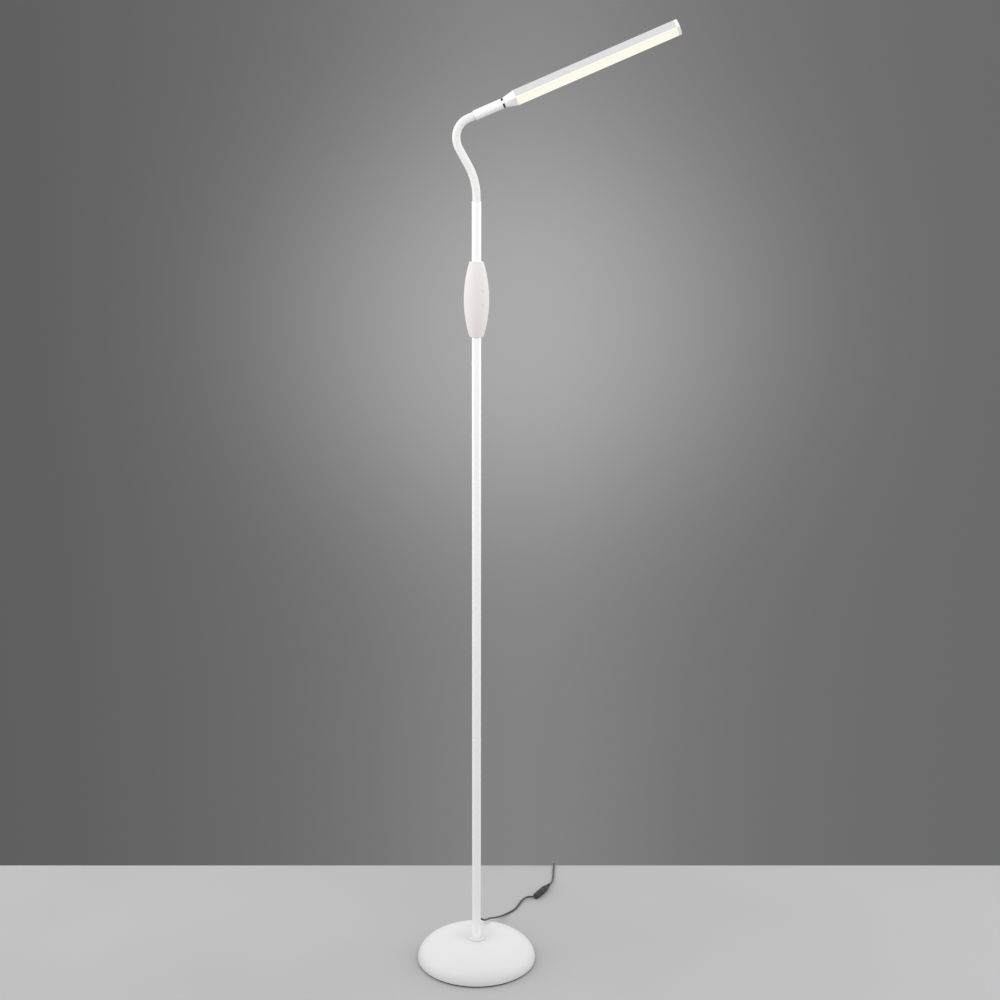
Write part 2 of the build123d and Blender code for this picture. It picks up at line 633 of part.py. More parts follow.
def make_neck():
    """Neck tube with its tab, bush and the friction ring."""
    bore = NECK_R - NECK_WALL
    tab_half = TAB_W / 2
    tab_end = RING_HALF - SLIDE
    body = tube(NECK_R, bore, -NECK_L, -RING_HALF)
    turn = Rot(0, 0, -TAB_TURN)
    tab = tube(NECK_R, bore, -RING_T, tab_end) & block(0, NECK_R, -tab_half, tab_half, -RING_T, tab_end)
    body += turn * tab
    save("neck_tube", NECK_FRAME * body)
    slot_half = tab_half + SLIDE
    slot = tube(NECK_R, bore - SLIDE, -RING_T, RING_T)
    slot &= block(0, NECK_R, -slot_half, slot_half, -RING_T, RING_T)
    ring = tube(RING_R, SPINDLE_R + GAP, -RING_HALF, RING_HALF - SLIDE)
    save("friction_ring", NECK_FRAME * (ring - turn * slot))
    save("neck_bush", NECK_FRAME * tube(bore - SLIDE, SPINDLE_R + SLIDE, -RING_HALF - BUSH_L, -RING_HALF))


def end_plug(z0, z1):
    """The square plug of the cone or the end cap inside the housing."""
    return block(-HEAD_SIDE * PLUG_DROP_SHARE, PLUG_HALF, -PLUG_HALF, PLUG_HALF, z0, z1)


def make_cone():
    """The cone that turns the round neck into the square bar, with its plug."""
    sections = [Pos(0, 0, RING_HALF + SLIDE) * Circle(CONE_SMALL_R),
                Pos(0, 0, CONE_END) * RectangleRounded(HEAD_SIDE, HEAD_SIDE, HEAD_CORNER)]
    cone = loft(sections) + end_plug(CONE_END - CUT, CONE_END + PLUG_L)
    cone -= rod(SPINDLE_R + SLIDE, 0, SPINDLE_END + SLIDE)
    return cone - rod(SPINDLE_BORE_R, 0, CONE_END + PLUG_L + CUT)


def make_housing():
    """The bar's channel, open on its lit side, with two rails for the light strip."""
    low, high = CONE_END - CUT, BAR_END + CUT
    housing = square_bar(HEAD_SIDE, HEAD_CORNER, CONE_END, BAR_END)
    housing -= block(-INNER_HALF, INNER_HALF, -INNER_HALF, INNER_HALF, low, high)
    housing -= block(-HEAD_SIDE, DIFFUSER_BACK, -HEAD_SIDE, HEAD_SIDE, low, high)
    rail_x = CARRIER_X + CARRIER_T
    for side in (-1, 1):
        y0, y1 = sorted((side * (INNER_HALF - RAIL_T), side * (INNER_HALF + HOUSING_WALL / 2)))
        housing += block(rail_x, rail_x + RAIL_T, y0, y1, CONE_END + PLUG_L + GAP,
                         BAR_END - CAP_PLUG_L - GAP)
    return housing


def make_end_cap():
    """The far end cap: a slightly domed square face with its plug."""
    cap = square_bar(HEAD_SIDE, HEAD_CORNER, BAR_END, HEAD_END)
    reach = HALF_SIDE * math.sqrt(2) - HEAD_CORNER * (math.sqrt(2) - 1)
    dome_r = (reach ** 2 + CAP_DOME ** 2) / (2 * CAP_DOME)
    cap &= Pos(0, 0, HEAD_END - dome_r) * Sphere(dome_r)
    return cap + end_plug(BAR_END - CAP_PLUG_L, BAR_END + CUT)


def make_diffuser():
    """The lit face: a full-width plate with two snap legs."""
    low, high = CONE_END + SLIDE, BAR_END - SLIDE
    plate = square_bar(HEAD_SIDE, HEAD_CORNER, low, high)
    plate &= block(-HALF_SIDE, DIFFUSER_BACK, -HEAD_SIDE, HEAD_SIDE, low, high)
    for side in (-1, 1):
        y0, y1 = sorted((side * (STRIP_HALF - DIFFUSER_LEG_T), side * STRIP_HALF))
        plate += block(DIFFUSER_BACK - DIFFUSER_T / 4, DIFFUSER_BACK + DIFFUSER_LEG, y0, y1, low, high)
    return plate


def make_light_strip():
    """The LED carrier, its board and the row of chips."""
    start = CONE_END + PLUG_L + END_MARGIN
    end = BAR_END - CAP_PLUG_L - END_MARGIN
    board_half = STRIP_HALF - DIFFUSER_LEG_T - GAP
    board_x = CARRIER_X - LED_BOARD_T
    save("led_carrier", HEAD_FRAME * block(CARRIER_X, CARRIER_X + CARRIER_T, -STRIP_HALF, STRIP_HALF,
                                           start, end))
    save("led_board", HEAD_FRAME * block(board_x, CARRIER_X, -board_half, board_half, start, end))
    pitch = (end - start - 2 * LED_L) / (LED_COUNT - 1)
    chips = []
    for number in range(LED_COUNT):
        z = start + LED_L + number * pitch
        chip = block(board_x - LED_T, board_x, -LED_W / 2, LED_W / 2, z - LED_L / 2, z + LED_L / 2)
        chips.append(HEAD_FRAME * chip)
    save("led_chips", *chips)
    save("head_wires", HEAD_FRAME * rod(WIRE_R, SPINDLE_START, start - GAP))


def make_head():
    """Swivel spindle, cone, housing, light strip, diffuser and end cap."""
    spindle = rod(SPINDLE_R, SPINDLE_START - SPINDLE_HEAD_T, SPINDLE_END)
    spindle += rod(SPINDLE_HEAD_R, SPINDLE_START - SPINDLE_HEAD_T, SPINDLE_START)
    spindle -= rod(SPINDLE_BORE_R, -NECK_L, CONE_END)
    save("swivel_spindle", HEAD_FRAME * spindle)

    cone, housing, cap = make_cone(), make_housing(), make_end_cap()
    seat = HALF_SIDE - HEAD_SCREW_HEAD_T
    screws = []
    for z in (CONE_END + PLUG_L / 2, BAR_END - CAP_PLUG_L / 2):
        hole = rod_x(HEAD_SCREW_R + SLIDE, z, HEAD_SCREW_TIP - CUT / 2, HALF_SIDE)
        hole += rod_x(HEAD_SCREW_HEAD_R + SLIDE, z, seat, HALF_SIDE + CUT)
        housing -= hole
        cone -= hole
        cap -= hole
        shank = rod_x(HEAD_SCREW_R, z, HEAD_SCREW_TIP, seat)
        screws.append(HEAD_FRAME * (shank + rod_x(HEAD_SCREW_HEAD_R, z, seat, HALF_SIDE)))
    save("head_cone", HEAD_FRAME * cone)
    save("head_housing", HEAD_FRAME * housing)
    save("head_end_cap", HEAD_FRAME * cap)
    save("head_screws", *screws)
    save("diffuser", HEAD_FRAME * make_diffuser())
    make_light_strip()


# ---------------------------------------------------------------- free cord


CORD_R = CORD_D / 2
ARC_SHARE = 0.45        # share of the shorter run that an arc takes up
COIL_Y = BASE_R + COIL_BEHIND
COIL_Z = TIE_T + COIL_SKIN + GAP
COIL_FLOOR = COIL_Z + CORD_R
COIL_HEIGHT = COIL_LAYERS * CORD_D
COIL_TOP = COIL_Z + COIL_HEIGHT - CORD_R
COIL_REACH = (COIL_COLUMNS - 1) / 2 * CORD_D
COIL_LEAD_R = COIL_MID_R + COIL_REACH
ADAPTER_Y = BASE_R + ADAPTER_BEHIND


def cord_run(name, spots):
    """A cord stretch of straight runs joined by arcs as large as the runs allow; prints its radii."""
    runs = [b - a for a, b in zip(spots, spots[1:])]
    bends = []
    for before, after in zip(runs, runs[1:]):
        half = math.radians(before.get_angle(after) / 2)
        bends.append(ARC_SHARE * min(before.length, after.length) / math.tan(half))
    body = pipe(spots, CORD_R, bends)
    path_length = FilletPolyline(*spots, radius=bends).length
    print(name, "length", round(path_length, 1), "volume share",
          round(body.volume / (math.pi * CORD_R ** 2 * path_length), 4))
    print("  radii", [round(bend, 1) for bend in bends])
    print("  runs", [round(run.length, 1) for run in runs])
    save(name, body)


def over_dome(x_share, y_share, lift):
    """Point of the cord above the dome's surface."""
    radius = BASE_R * math.hypot(x_share, y_share)
    return BASE_R * x_share, BASE_R * y_share, dome_point(dome_angle(radius, 0), 0)[1] + lift


def behind_base(x, distance, z):
    """Point of the cord behind the base's rear edge."""
    return x, BASE_R + distance, z


def make_coupling(entry, lead_dir, along):
    """Socket and plug of the low-voltage coupling; the socket's end is square to the lead."""
    place = frame_along(entry, along, (0, 0, 1))
    socket = turned((0, -COUPLING_R), (COUPLING_R, -COUPLING_R), (COUPLING_R, SOCKET_L - COUPLING_EDGE),
                    (COUPLING_R - COUPLING_EDGE, SOCKET_L), (0, SOCKET_L))
    socket = place * (socket - rod(BARREL_R, SOCKET_L - BARREL_L - CUT, SOCKET_L + CUT))
    room = COUPLING_L
    behind = Plane(origin=entry, z_dir=lead_dir).location * block(-room, room, -room, room, -room, 0)
    save("coupling_socket", socket - behind)
    start = SOCKET_L + GAP
    waist = SOCKET_L + PLUG_BODY_L
    plug = turned((0, start), (COUPLING_R - COUPLING_EDGE, start), (COUPLING_R, start + COUPLING_EDGE),
                  (COUPLING_R, waist), (PLUG_WAIST_R, waist + PLUG_WAIST_L),
                  (CORD_R + BOOT_LIP, COUPLING_L), (0, COUPLING_L))
    plug += rod(BARREL_R - SLIDE, SOCKET_L - BARREL_L, start + CUT)
    save("coupling_plug", place * plug)


def make_coil():
    """The outer shape of the tied coil with its two ends, and the tie round it."""
    band = COIL_REACH + CORD_R + COIL_SKIN
    bottom = COIL_Z - COIL_SKIN
    lid = COIL_Z + COIL_HEIGHT + COIL_SKIN
    coil = Pos(COIL_X, COIL_Y, 0) * tube(COIL_MID_R + band, COIL_MID_R - band, bottom, lid)
    coil += rod_y(CORD_R, COIL_X + COIL_LEAD_R, COIL_FLOOR, COIL_Y - COIL_STUB, COIL_Y)
    coil += Pos(0, COIL_Y + COIL_LEAD_R, 0) * rod_x(CORD_R, COIL_TOP, COIL_X - COIL_STUB, COIL_X)
    save("cord_coil", coil)
    band += GAP
    inside, outside = COIL_MID_R - band, COIL_MID_R + band
    roof = lid + GAP
    tie = block(inside - TIE_T, outside + TIE_T, -TIE_W / 2, TIE_W / 2, 0, roof + TIE_T)
    tie -= block(inside, outside, -TIE_W, TIE_W, TIE_T, roof)
    save("coil_tie", Pos(COIL_X, COIL_Y, 0) * Rot(0, 0, TIE_ANGLE) * tie)


def make_adapter():
    """The plug-in power supply: two case halves, the cord boot and the pins."""
    x, y, z = ADAPTER_X, ADAPTER_Y, ADAPTER_SIZE[2] / 2
    length, width, depth = ADAPTER_SIZE
    case = fillet((Pos(x, y, z) * Box(length, width, depth)).edges(), ADAPTER_ROUND)
    save("adapter_case_lower", case & block(x - length, x + length, y - width, y + width, 0, z))
    save("adapter_case_upper", case & block(x - length, x + length, y - width, y + width, z, depth))
    boot = turned((0, 0), (BOOT_R, 0), (CORD_R + BOOT_LIP, BOOT_L), (0, BOOT_L))
    save("adapter_boot", frame_along((x + length / 2, y, z), (1, 0, 0), (0, 0, 1)) * boot)
    face = x - length / 2
    pins = [Pos(0, y + side * PIN_PITCH / 2, 0) * rod_x(PIN_R, z, face - PIN_L, face) for side in (-1, 1)]
    save("adapter_pins", *pins)


def make_cord():
    """Lamp lead, coupling, adapter lead, tied coil, tail and plug-in power supply."""
    tip = (EXIT_FRAME * Pos(0, 0, RELIEF_TIP)).position
    lamp_lead = [tip, tip + EXIT_DIR * STRAIGHT]
    lamp_lead += [Vector(*over_dome(*place)) for place in LEAD_OVER_DOME]
    lamp_lead += [Vector(*behind_base(*place)) for place in LEAD_BEHIND]
    cord_run("lamp_lead", lamp_lead)

    entry = lamp_lead[-1]
    heading = math.radians(COUPLING_HEADING)
    along = Vector(math.cos(heading), math.sin(heading), 0)
    make_coupling(entry, (entry - lamp_lead[-2]).normalized(), along)

    leave = entry + along * COUPLING_L
    supply_lead = [leave, leave + along * STRAIGHT]
    supply_lead += [Vector(*behind_base(*place)) for place in SUPPLY_BEHIND]
    coil_edge = COIL_Y - COIL_STUB
    supply_lead.append(Vector(COIL_X + COIL_LEAD_R, coil_edge - COIL_LEAD_RUN, COIL_FLOOR))
    supply_lead.append(Vector(COIL_X + COIL_LEAD_R, coil_edge, COIL_FLOOR))
    cord_run("adapter_lead", supply_lead)
    make_coil()

    tail_x = COIL_X - COIL_STUB
    tail_y = COIL_Y + COIL_LEAD_R
    boot_x = ADAPTER_X + ADAPTER_SIZE[0] / 2 + BOOT_L
    boot_z = ADAPTER_SIZE[2] / 2
    tail = [(tail_x, tail_y, COIL_TOP), (tail_x - STRAIGHT, tail_y, COIL_TOP),
            (boot_x + STRAIGHT, ADAPTER_Y, boot_z), (boot_x, ADAPTER_Y, boot_z)]
    cord_run("cord_tail", [Vector(*place) for place in tail])
    make_adapter()


os.makedirs("parts", exist_ok=True)
make_base()
make_pole()
make_grip()
make_touch_board()
make_gooseneck()
make_neck()
make_head()
make_cord()
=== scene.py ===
"""Adjustable arm floor lamp: finishes, base cover, gooseneck sleeve, cord, touch marks and studio.

Sizes are in metres, in the lamp's own frame: the origin is the centre of the base on the floor,
+Z is up, +X points to the far end of the light bar and -Y is the lamp's front.
"""
import json
import logging
import math
from collections.abc import Callable, Sequence
from dataclasses import dataclass, field
from enum import Enum
from typing import ClassVar

import bpy
from mathutils import Matrix, Vector


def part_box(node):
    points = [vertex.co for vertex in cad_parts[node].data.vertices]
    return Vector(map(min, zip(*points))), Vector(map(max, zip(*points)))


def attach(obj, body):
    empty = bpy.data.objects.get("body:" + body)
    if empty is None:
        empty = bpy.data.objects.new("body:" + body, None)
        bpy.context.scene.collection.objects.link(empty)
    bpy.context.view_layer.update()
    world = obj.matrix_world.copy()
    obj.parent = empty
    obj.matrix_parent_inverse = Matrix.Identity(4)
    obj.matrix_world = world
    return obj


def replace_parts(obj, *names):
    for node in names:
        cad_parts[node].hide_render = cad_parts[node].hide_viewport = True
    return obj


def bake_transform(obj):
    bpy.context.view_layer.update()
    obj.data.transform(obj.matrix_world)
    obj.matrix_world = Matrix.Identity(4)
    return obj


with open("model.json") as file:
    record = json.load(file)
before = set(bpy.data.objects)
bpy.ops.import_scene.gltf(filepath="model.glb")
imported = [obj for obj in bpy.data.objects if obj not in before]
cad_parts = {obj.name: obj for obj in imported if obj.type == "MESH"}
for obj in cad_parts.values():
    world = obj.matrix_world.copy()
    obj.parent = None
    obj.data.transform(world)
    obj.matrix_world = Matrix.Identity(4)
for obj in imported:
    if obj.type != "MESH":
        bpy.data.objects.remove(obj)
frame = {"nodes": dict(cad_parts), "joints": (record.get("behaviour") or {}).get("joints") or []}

LOG = logging.getLogger("floor_lamp")
MM = 0.001
MICRON = 0.000001

Colour = tuple[float, float, float]
Point = tuple[float, float, float]
Pair = tuple[float, float]
Profile = list[Pair]
Socket = bpy.types.NodeSocket
Sockets = dict[str, Socket]
Value = Socket | float | tuple


def ease(share: float) -> float:
    """Holds a share between 0 and 1 and softens its start and end."""
    share = min(max(share, 0.0), 1.0)
    return share * share * (3 - 2 * share)


def polar(radius: float, angle: float) -> Pair:
    """Returns X and Y of the point at a radius and an angle in radians."""
    return radius * math.cos(angle), radius * math.sin(angle)


def in_mm(*spots: Pair) -> Profile:
    """Returns a profile in metres from radii and heights in millimetres."""
    return [(radius * MM, height * MM) for radius, height in spots]


def put(name: str, data: bpy.types.ID) -> bpy.types.Object:
    """Puts a new object in the scene and returns it."""
    piece = bpy.data.objects.new(name, data)
    bpy.context.scene.collection.objects.link(piece)
    return piece


# ---------------- node trees


class Tree:
    """Adds and links the nodes of one material or one node group."""

    def __init__(self, tree: bpy.types.NodeTree) -> None:
        """Wraps a node tree.

        Args:
            tree: the tree that the nodes go into.
        """
        self.tree = tree

    def find(self, kind: str) -> bpy.types.Node:
        """Returns the tree's first node of a type."""
        return next(node for node in self.tree.nodes if node.type == kind)

    def feed(self, socket: Socket, value: Value) -> None:
        """Links a socket, or sets its default value.

        Args:
            socket: an input of a node.
            value: another node's output, a number or a colour.
        """
        if isinstance(value, Socket):
            self.tree.links.new(value, socket)
        elif isinstance(value, tuple) and len(value) == 3 and socket.type == "RGBA":
            socket.default_value = (*value, 1.0)
        else:
            socket.default_value = value

    def add(self, kind: str, inputs: dict[str | int, Value] | None = None,
            **settings: object) -> bpy.types.Node:
        """Adds a node.

        Args:
            kind: the node's type name.
            inputs: values or links for its inputs, by name or number.
            settings: the node's own properties.

        Returns:
            The new node.
        """
        node = self.tree.nodes.new(kind)
        for name, setting in settings.items():
            setattr(node, name, setting)
        for key, value in (inputs or {}).items():
            self.feed(node.inputs[key], value)
        return node

    def math(self, operation: str, first: Value, second: Value = 0.0, third: Value = 0.0) -> Socket:
        """Adds a Math node and returns its output."""
        return self.add("ShaderNodeMath", {0: first, 1: second, 2: third}, operation=operation).outputs[0]

    def vector(self, operation: str, first: Value, second: Value = (0.0, 0.0, 0.0)) -> Socket:
        """Adds a Vector Math node and returns its vector, or the number of a length or dot product."""
        node = self.add("ShaderNodeVectorMath", {0: first, 1: second}, operation=operation)
        return node.outputs["Value" if operation in ("LENGTH", "DOT_PRODUCT") else "Vector"]

    def tint(self, colour: Value, factor: Value) -> Socket:
        """Brightens or darkens a colour by a factor and returns the result."""
        return self.add("ShaderNodeVectorMath", {0: colour, "Scale": factor}, operation="SCALE").outputs[0]

    def spread(self, value: Value, low: float, high: float, to_low: float, to_high: float) -> Socket:
        """Maps a range onto another smoothly and returns the output.

        Args:
            value: the number to map.
            low: start of the source range.
            high: end of the source range.
            to_low: result at low.
            to_high: result at high.

        Returns:
            The mapped value.
        """
        inputs = {"Value": value, "From Min": low, "From Max": high, "To Min": to_low, "To Max": to_high}
        return self.add("ShaderNodeMapRange", inputs, interpolation_type="SMOOTHSTEP").outputs["Result"]

    def noise(self, vector: Value, scale: Value, detail: float = 3.0) -> Socket:
        """Adds a Noise texture and returns its factor."""
        inputs = {"Vector": vector, "Scale": scale, "Detail": detail}
        return self.add("ShaderNodeTexNoise", inputs).outputs["Fac"]

    def mix(self, factor: Value, first: Value, second: Value) -> Socket:
        """Mixes two colours and returns the result."""
        node = self.add("ShaderNodeMix", {"Factor": factor}, data_type="RGBA")
        colours = [socket for socket in node.inputs if socket.type == "RGBA"]
        for socket, value in zip(colours, (first, second)):
            self.feed(socket, value)
        return next(socket for socket in node.outputs if socket.type == "RGBA")

    def place(self) -> Socket:
        """Returns the object coordinates, which are metres in the lamp's frame."""
        return self.add("ShaderNodeTexCoord").outputs["Object"]

    def axis(self, vector: Socket, number: int) -> Socket:
        """Returns one part of a vector: 0 is X, 1 is Y and 2 is Z."""
        return self.add("ShaderNodeSeparateXYZ", {0: vector}).outputs[number]


# ---------------- shared surface effects


@dataclass(frozen=True)
class Effect:
    """A surface effect that several finishes share, built once as a node group.

    Attributes:
        name: the node group's name.
        inputs: name, socket type and default of each input.
        outputs: name and socket type of each output.
        fill: draws the nodes between the group's input and output.
    """

    name: str
    inputs: tuple[tuple[str, str, float | tuple], ...]
    outputs: tuple[tuple[str, str], ...]
    fill: Callable[[Tree, Sockets], Sockets]

    def group(self) -> bpy.types.NodeTree:
        """Builds the node group, or returns the one that is already there.

        Returns:
            The effect's node group.
        """
        if self.name in bpy.data.node_groups:
            return bpy.data.node_groups[self.name]
        group = bpy.data.node_groups.new(self.name, "ShaderNodeTree")
        for label, kind, default in self.inputs:
            socket = group.interface.new_socket(label, in_out="INPUT", socket_type=kind)
            socket.default_value = default
        for label, kind in self.outputs:
            group.interface.new_socket(label, in_out="OUTPUT", socket_type=kind)
        tree = Tree(group)
        entry = tree.add("NodeGroupInput")
        results = self.fill(tree, {label: entry.outputs[label] for label, *_ in self.inputs})
        tree.add("NodeGroupOutput", results)
        return group

    def use(self, tree: Tree, **values: Value) -> Sockets:
        """Places the effect in a material.

        Args:
            tree: the material's tree.
            values: the group's inputs, with underscores for spaces.

        Returns:
            The group's outputs by name.
        """
        node = tree.add("ShaderNodeGroup", node_tree=self.group())
        for name, value in values.items():
            tree.feed(node.inputs[name.replace("_", " ")], value)
        return {socket.name: socket for socket in node.outputs}


FLOAT = "NodeSocketFloat"
COLOUR = "NodeSocketColor"


def textured(tree: Tree, given: Sockets, swing: Socket, factor: Socket, height: Socket) -> Sockets:
    """Puts together what each texture effect gives.

    Args:
        tree: the group's tree.
        given: the group's inputs.
        swing: slow change of gloss about zero.
        factor: brightness of the colour.
        height: height for the bump.

    Returns:
        The group's outputs.
    """
    gloss = tree.math("MULTIPLY_ADD", swing, given["Drift"], given["Roughness"])
    return {"Colour": tree.tint(given["Colour"], factor), "Roughness": gloss, "Height": height}


def fill_peel(tree: Tree, given: Sockets) -> Sockets:
    """Draws a sprayed coat: soft orange peel, fine specks and slow drift of colour and gloss.

    Args:
        tree: the group's tree.
        given: the group's inputs.

    Returns:
        The group's outputs.
    """
    fine_scale, fine_share, drift_cells, speck_share, shade_share = 3.7, 0.25, 14.0, 0.15, 0.5
    place = tree.place()
    coarse = tree.noise(place, given["Cells"], 2.0)
    fine = tree.noise(place, tree.math("MULTIPLY", given["Cells"], fine_scale), 2.0)
    swing = tree.math("SUBTRACT", tree.noise(place, drift_cells), 0.5)
    speck = tree.math("MULTIPLY", tree.math("SUBTRACT", coarse, 0.5), speck_share)
    shade = tree.math("MULTIPLY", tree.math("ADD", swing, speck), given["Drift"])
    factor = tree.math("MULTIPLY_ADD", shade, shade_share, 1.0)
    return textured(tree, given, swing, factor, tree.math("MULTIPLY_ADD", fine, fine_share, coarse))


def fill_grain(tree: Tree, given: Sockets) -> Sockets:
    """Draws the fine pitted grain of a textured mould.

    Args:
        tree: the group's tree.
        given: the group's inputs.

    Returns:
        The group's outputs.
    """
    pit_scale, pit_share, handled_cells, shade_share = 1.9, 0.6, 30.0, 0.6
    place = tree.place()
    inputs = {"Vector": place, "Scale": given["Cells"]}
    cells = tree.add("ShaderNodeTexVoronoi", inputs, feature="SMOOTH_F1")
    pits = tree.noise(place, tree.math("MULTIPLY", given["Cells"], pit_scale), 4.0)
    height = tree.math("MULTIPLY_ADD", pits, pit_share, cells.outputs["Distance"])
    swing = tree.math("SUBTRACT", tree.noise(place, handled_cells, 4.0), 0.5)
    strength = tree.math("MULTIPLY", given["Drift"], shade_share)
    factor = tree.math("MULTIPLY_ADD", tree.math("SUBTRACT", pits, 0.5), strength, 1.0)
    return textured(tree, given, swing, factor, height)


def fill_brushed(tree: Tree, given: Sockets) -> Sockets:
    """Draws fine lines round turned and drawn metal.

    Args:
        tree: the group's tree.
        given: the group's inputs.

    Returns:
        The group's outputs.
    """
    lines_along, lines_across, darkest, brightest = 60.0, 4000.0, 0.82, 1.08
    scale = (lines_along, lines_along, lines_across)
    stretched = tree.add("ShaderNodeMapping", {"Vector": tree.place(), "Scale": scale})
    lines = tree.noise(stretched.outputs[0], 1.0, 4.0)
    factor = tree.spread(lines, 0.2, 0.8, darkest, brightest)
    return textured(tree, given, tree.math("SUBTRACT", lines, 0.5), factor, lines)


def fill_dust(tree: Tree, given: Sockets) -> Sockets:
    """Draws a thin uneven film of dust on the faces that look up.

    Args:
        tree: the group's tree.
        given: the group's inputs.

    Returns:
        The group's outputs.
    """
    patch_cells, speck_cells = 42.0, 900.0
    coordinates = tree.add("ShaderNodeTexCoord")
    facing = tree.spread(tree.axis(coordinates.outputs["Normal"], 2), 0.35, 1.0, 0.0, 1.0)
    place = coordinates.outputs["Object"]
    patches = tree.spread(tree.noise(place, patch_cells, 5.0), 0.35, 0.75, 0.2, 1.0)
    specks = tree.spread(tree.noise(place, speck_cells, 2.0), 0.55, 0.75, 0.3, 1.0)
    film = tree.math("MULTIPLY", tree.math("MULTIPLY", facing, patches), specks)
    mask = tree.math("MULTIPLY", film, given["Amount"])
    return {"Colour": tree.mix(mask, given["Colour"], given["Dust"])}


CLEAN = ("Colour", COLOUR, (0.8, 0.8, 0.8, 1.0))
SURFACE_INPUTS = (CLEAN, ("Roughness", FLOAT, 0.4), ("Drift", FLOAT, 0.1), ("Cells", FLOAT, 900.0))
SURFACE_OUTPUTS = (("Colour", COLOUR), ("Roughness", FLOAT), ("Height", FLOAT))
PEEL = Effect("sprayed_peel", SURFACE_INPUTS, SURFACE_OUTPUTS, fill_peel)
GRAIN = Effect("moulded_grain", SURFACE_INPUTS, SURFACE_OUTPUTS, fill_grain)
BRUSHED = Effect("brushed_lines", SURFACE_INPUTS, SURFACE_OUTPUTS, fill_brushed)
DUST = Effect("settled_dust", (CLEAN, ("Dust", COLOUR, (0.5, 0.48, 0.45, 1.0)), ("Amount", FLOAT, 0.1)),
              (("Colour", COLOUR),), fill_dust)


# ---------------- finishes


def blank_material(name: str) -> tuple[bpy.types.Material, Tree, bpy.types.Node]:
    """Makes a material with a Principled shader.

    Args:
        name: the material's name.

    Returns:
        The material, its tree and its shader node.
    """
    material = bpy.data.materials.new(name)
    material.use_nodes = True
    tree = Tree(material.node_tree)
    return material, tree, tree.find("BSDF_PRINCIPLED")


def feed_shader(tree: Tree, shader: bpy.types.Node, surface: Sockets, depth: float) -> None:
    """Feeds a texture effect's colour, roughness and bump to a shader.

    Args:
        tree: the material's tree.
        shader: its Principled shader.
        surface: the effect's outputs.
        depth: height of the texture in metres.
    """
    bump = tree.add("ShaderNodeBump", {"Strength": 1.0, "Distance": depth, "Height": surface["Height"]})
    tree.feed(shader.inputs["Base Color"], surface["Colour"])
    tree.feed(shader.inputs["Roughness"], surface["Roughness"])
    tree.feed(shader.inputs["Normal"], bump.outputs[0])


@dataclass(frozen=True)
class Surface:
    """A solid finish: a shared texture effect, a film of dust and a Principled shader.

    Attributes:
        name: the material's name.
        colour: base colour, linear.
        roughness: mean roughness.
        effect: the texture effect.
        cells: texture cells in a metre.
        depth: height of the texture in metres.
        drift: how far colour and roughness wander.
        dust: strength of the dust film.
        metallic: 1 for bare metal.
        coat: weight of a clear coat.
        specular: the shader's specular level.
    """

    name: str
    colour: Colour
    roughness: float
    effect: Effect
    cells: float = 900.0
    depth: float = 10 * MICRON
    drift: float = 0.08
    dust: float = 0.05
    metallic: float = 0.0
    coat: float = 0.0
    specular: float = 0.5

    def texture(self, tree: Tree) -> Sockets:
        """Places the texture effect and the dust, and returns colour, roughness and height."""
        surface = self.effect.use(tree, Colour=self.colour, Roughness=self.roughness, Drift=self.drift,
                                  Cells=self.cells)
        return surface | DUST.use(tree, Colour=surface["Colour"], Amount=self.dust)

    def build(self) -> bpy.types.Material:
        """Builds the finish.

        Returns:
            The new material.
        """
        material, tree, shader = blank_material(self.name)
        feed_shader(tree, shader, self.texture(tree), self.depth)
        shader.inputs["Metallic"].default_value = self.metallic
        shader.inputs["Coat Weight"].default_value = self.coat
        shader.inputs["Specular IOR Level"].default_value = self.specular
        return material


@dataclass(frozen=True)
class GripShell(Surface):
    """Moulded grip plastic with the hairline where its two shells meet, and a painted shade round the holes
    for the tubes.

    Attributes:
        yaw: turn of the grip about the pole, in degrees.
        seam: half width of the hairline.
        seam_shade: brightness of the hairline and of the painted shade round the holes, in parts of the
            plastic's.
        seam_depth: depth of the hairline, in parts of the grain's.
        hole: radius of the holes for the tubes.
        hole_reach: width of the painted soft shade round them.
        hole_shade: strength of that painted shade.
    """

    yaw: float = 30.0
    seam: float = 0.18 * MM
    seam_shade: float = 0.45
    seam_depth: float = 6.0
    hole: float = 8.35 * MM
    hole_reach: float = 1.6 * MM
    hole_shade: float = 0.8

    def texture(self, tree: Tree) -> Sockets:
        """Adds the hairline of the split and a painted shade round the tubes to the grain."""
        surface = super().texture(tree)
        turn = (0.0, 0.0, -math.radians(self.yaw))
        turned = tree.add("ShaderNodeMapping", {"Vector": tree.place(), "Rotation": turn}).outputs[0]
        off_split = tree.math("ABSOLUTE", tree.axis(turned, 1))
        line = tree.spread(off_split, 0.5 * self.seam, self.seam, 1.0, 0.0)
        from_axis = tree.vector("LENGTH", tree.vector("MULTIPLY", turned, (1.0, 1.0, 0.0)))
        # Painted shade: the plastic darkens towards the holes where the tubes go in, in the hairline's dark
        # colour.
        ring = tree.spread(from_axis, self.hole, self.hole + self.hole_reach, self.hole_shade, 0.0)
        seam_and_shade_colour = tuple(part * self.seam_shade for part in self.colour)
        surface["Colour"] = tree.mix(tree.math("MAXIMUM", line, ring), surface["Colour"], seam_and_shade_colour)
        sunk = tree.math("MULTIPLY", line, self.seam_depth)
        surface["Height"] = tree.math("SUBTRACT", surface["Height"], sunk)
        return surface


